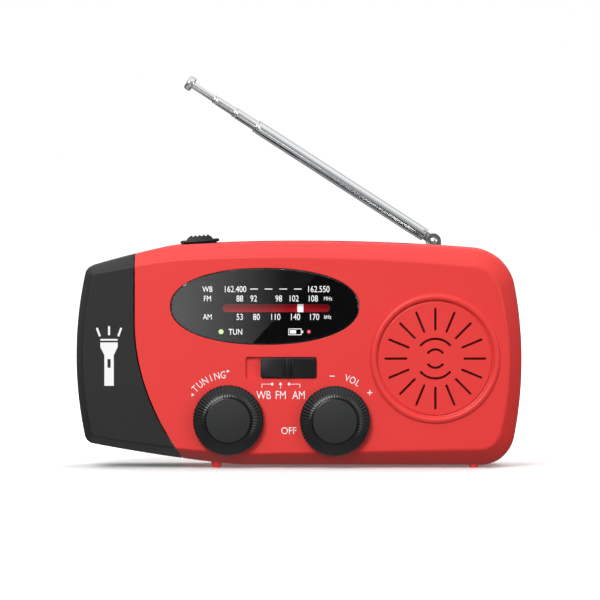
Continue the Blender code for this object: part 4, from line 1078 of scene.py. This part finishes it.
def glow(name, strength):
    made, tree = new_material(name)
    tree.nodes.remove(shader_of(made))
    light = placed(tree, "ShaderNodeEmission", Color=(1.0, 1.0, 1.0, 1.0), Strength=strength)
    wire(tree, (light.outputs["Emission"], tree.nodes["Material Output"].inputs["Surface"]))
    return made


def faded_glow(name, left, right):
    """A glow that fades from left to right over the object."""
    made = glow(name, 1.0)
    tree = made.node_tree
    place = tree.nodes.new("ShaderNodeTexCoord")
    split = tree.nodes.new("ShaderNodeSeparateXYZ")
    fade = placed(tree, "ShaderNodeMapRange", From_Max=0.8, To_Min=left, To_Max=right)
    wire(
        tree,
        (place.outputs["Generated"], split.inputs["Vector"]),
        (split.outputs["X"], fade.inputs["Value"]),
        (fade.outputs["Result"], tree.nodes["Emission"].inputs["Strength"]),
    )
    return made


def paint_floor_shadow(made, near, far, dim, bright):
    """A painted shadow on the floor round the radio: emission that dims towards the middle of the floor, from
    far to near in metres.
    """
    tree = made.node_tree
    place = tree.nodes.new("ShaderNodeTexCoord")
    squeeze = tree.nodes.new("ShaderNodeVectorMath")
    squeeze.operation = "MULTIPLY"
    squeeze.inputs[1].default_value = (0.9, 1.0, 0.0)
    reach = tree.nodes.new("ShaderNodeVectorMath")
    reach.operation = "LENGTH"
    fade = placed(tree, "ShaderNodeMapRange", From_Min=near, From_Max=far, To_Min=dim, To_Max=bright)
    wire(
        tree,
        (place.outputs["Object"], squeeze.inputs[0]),
        (squeeze.outputs["Vector"], reach.inputs[0]),
        (reach.outputs["Value"], fade.inputs["Value"]),
        (fade.outputs["Result"], shader_of(made).inputs["Emission Strength"]),
    )


def sky():
    """Light from all round, and brightest from above."""
    world = bpy.data.worlds.new("studio")
    scene.world = world
    world.use_nodes = True
    tree = world.node_tree
    background = tree.nodes["Background"]
    place = tree.nodes.new("ShaderNodeTexCoord")
    split = tree.nodes.new("ShaderNodeSeparateXYZ")
    spread = placed(tree, "ShaderNodeMapRange", From_Min=-1.0)
    ramp = tree.nodes.new("ShaderNodeValToRGB")
    stops = ramp.color_ramp.elements
    stops[0].position, stops[1].position = 0.42, 0.80
    stops.new(0.5)
    for stop, grey in zip(stops, (0.22, 0.34, 1.0)):
        stop.color = (grey, grey, grey, 1.0)
    wire(
        tree,
        (place.outputs["Generated"], split.inputs["Vector"]),
        (split.outputs["Z"], spread.inputs["Value"]),
        (spread.outputs["Result"], ramp.inputs["Fac"]),
        (ramp.outputs["Color"], background.inputs["Color"]),
    )
    background.inputs["Strength"].default_value = 0.68


# Stages and cards are placed in metres.


def staged(name, bm, made):
    obj = object_of(name, bm)
    obj.data.materials.append(made)
    return obj


def flat_stage(name, points, made):
    bm = bmesh.new()
    bm.faces.new([bm.verts.new(p) for p in points])
    return staged(name, bm, made)


def level(half_w, y0, y1, z):
    return [(-half_w, y0, z), (half_w, y0, z), (half_w, y1, z), (-half_w, y1, z)]


def upright(corners):
    """A sheet in front of the radio, from its corners as (x, z) in millimetres."""
    return [(x * MM, CARD_Y * MM, z * MM) for x, z in corners]


def gloss_card(name, points, made):
    """A card that shows only in what reflects it."""
    card = flat_stage(name, points, made)
    card.visible_camera = False
    card.visible_diffuse = False
    card.visible_shadow = False
    card.visible_transmission = False


def backdrop():
    """A white dome all round that only the camera sees."""
    bm = bmesh.new()
    bmesh.ops.create_uvsphere(bm, u_segments=48, v_segments=24, radius=11.0)
    dome = staged("backdrop", bm, glow("backdrop_white", 1.0))
    dome.visible_diffuse = False
    dome.visible_glossy = False
    dome.visible_shadow = False
    dome.visible_transmission = False


def studio():
    sky()
    pale = finish("pale_floor", (0.9, 0.9, 0.9), 0.8, grain=0.0, drift=0.0)
    set_sockets(shader_of(pale), {"Emission Color": (1, 1, 1, 1)})
    # Painted contact shadow: the floor's emission dims under and round the radio.
    paint_floor_shadow(pale, 0.05, 0.17, 0.1, 0.66)
    floor = flat_stage("floor", level(6.0, -6.0, 6.0, 0.0), pale)
    floor.visible_diffuse = False
    floor.visible_glossy = False
    backdrop()

    left, right, bottom, top = -90.0, 70.0, -30.0, 62.0
    low_end, high_end = (-23.0, 20.0), (16.5, top)  # of the slanting edge between the two cards
    level_z = low_end[1]
    dark = [low_end, (left, level_z), (left, bottom), (right, bottom), (right, top), high_end]
    gloss_card("dark_card", upright(dark), glow("card_black", 0.0))
    grey = [low_end, high_end, (left, top), (left, level_z)]
    gloss_card("grey_card", upright(grey), faded_glow("card_grey", 4.0, 0.1))
    gloss_card("overhead_card", level(0.6, -0.7, 0.4, 0.7), glow("card_white", 1.2))
    gloss_card("lower_card", level(0.6, -1.2, 0.3, -0.3), glow("card_pale", 0.5))

    area_light("top_softbox", (-0.1, 0.15, 1.0), (0.0, 0.0, 0.03), (0.9, 0.6), 1.8)
    area_light("front_softbox", (-0.3, -0.8, 0.48), (0.0, 0.0, 0.05), (0.4, 0.4), 6.4)
    behind = area_light("back_softbox", (0.5, 1.3, 0.9), (0.0, 0.0, 0.04), (0.7, 0.7), 10.0)
    behind.visible_glossy = False
    area_light("side_softbox", (0.9, -0.8, 0.2), (0.0, 0.0, 0.04), (0.5, 0.5), 2.8)


front_shell()
speaker_cloth_painted_shade()
rear_shell()
seam_lip()
end_cap()
dial()
knob("tuning_knob_body", "tuning_knob", "tuning", TUNING)
knob("volume_knob_body", "volume_knob", "volume", VOLUME)
band_slider()
torch_button()
dial_scale()
front_legends()
torch_pictogram()
solar_panel()
antenna_base()
antenna_sections()
crank()
port_cover()
kept_nodes()
camera()
studio()
scene.view_settings.view_transform = "Standard"
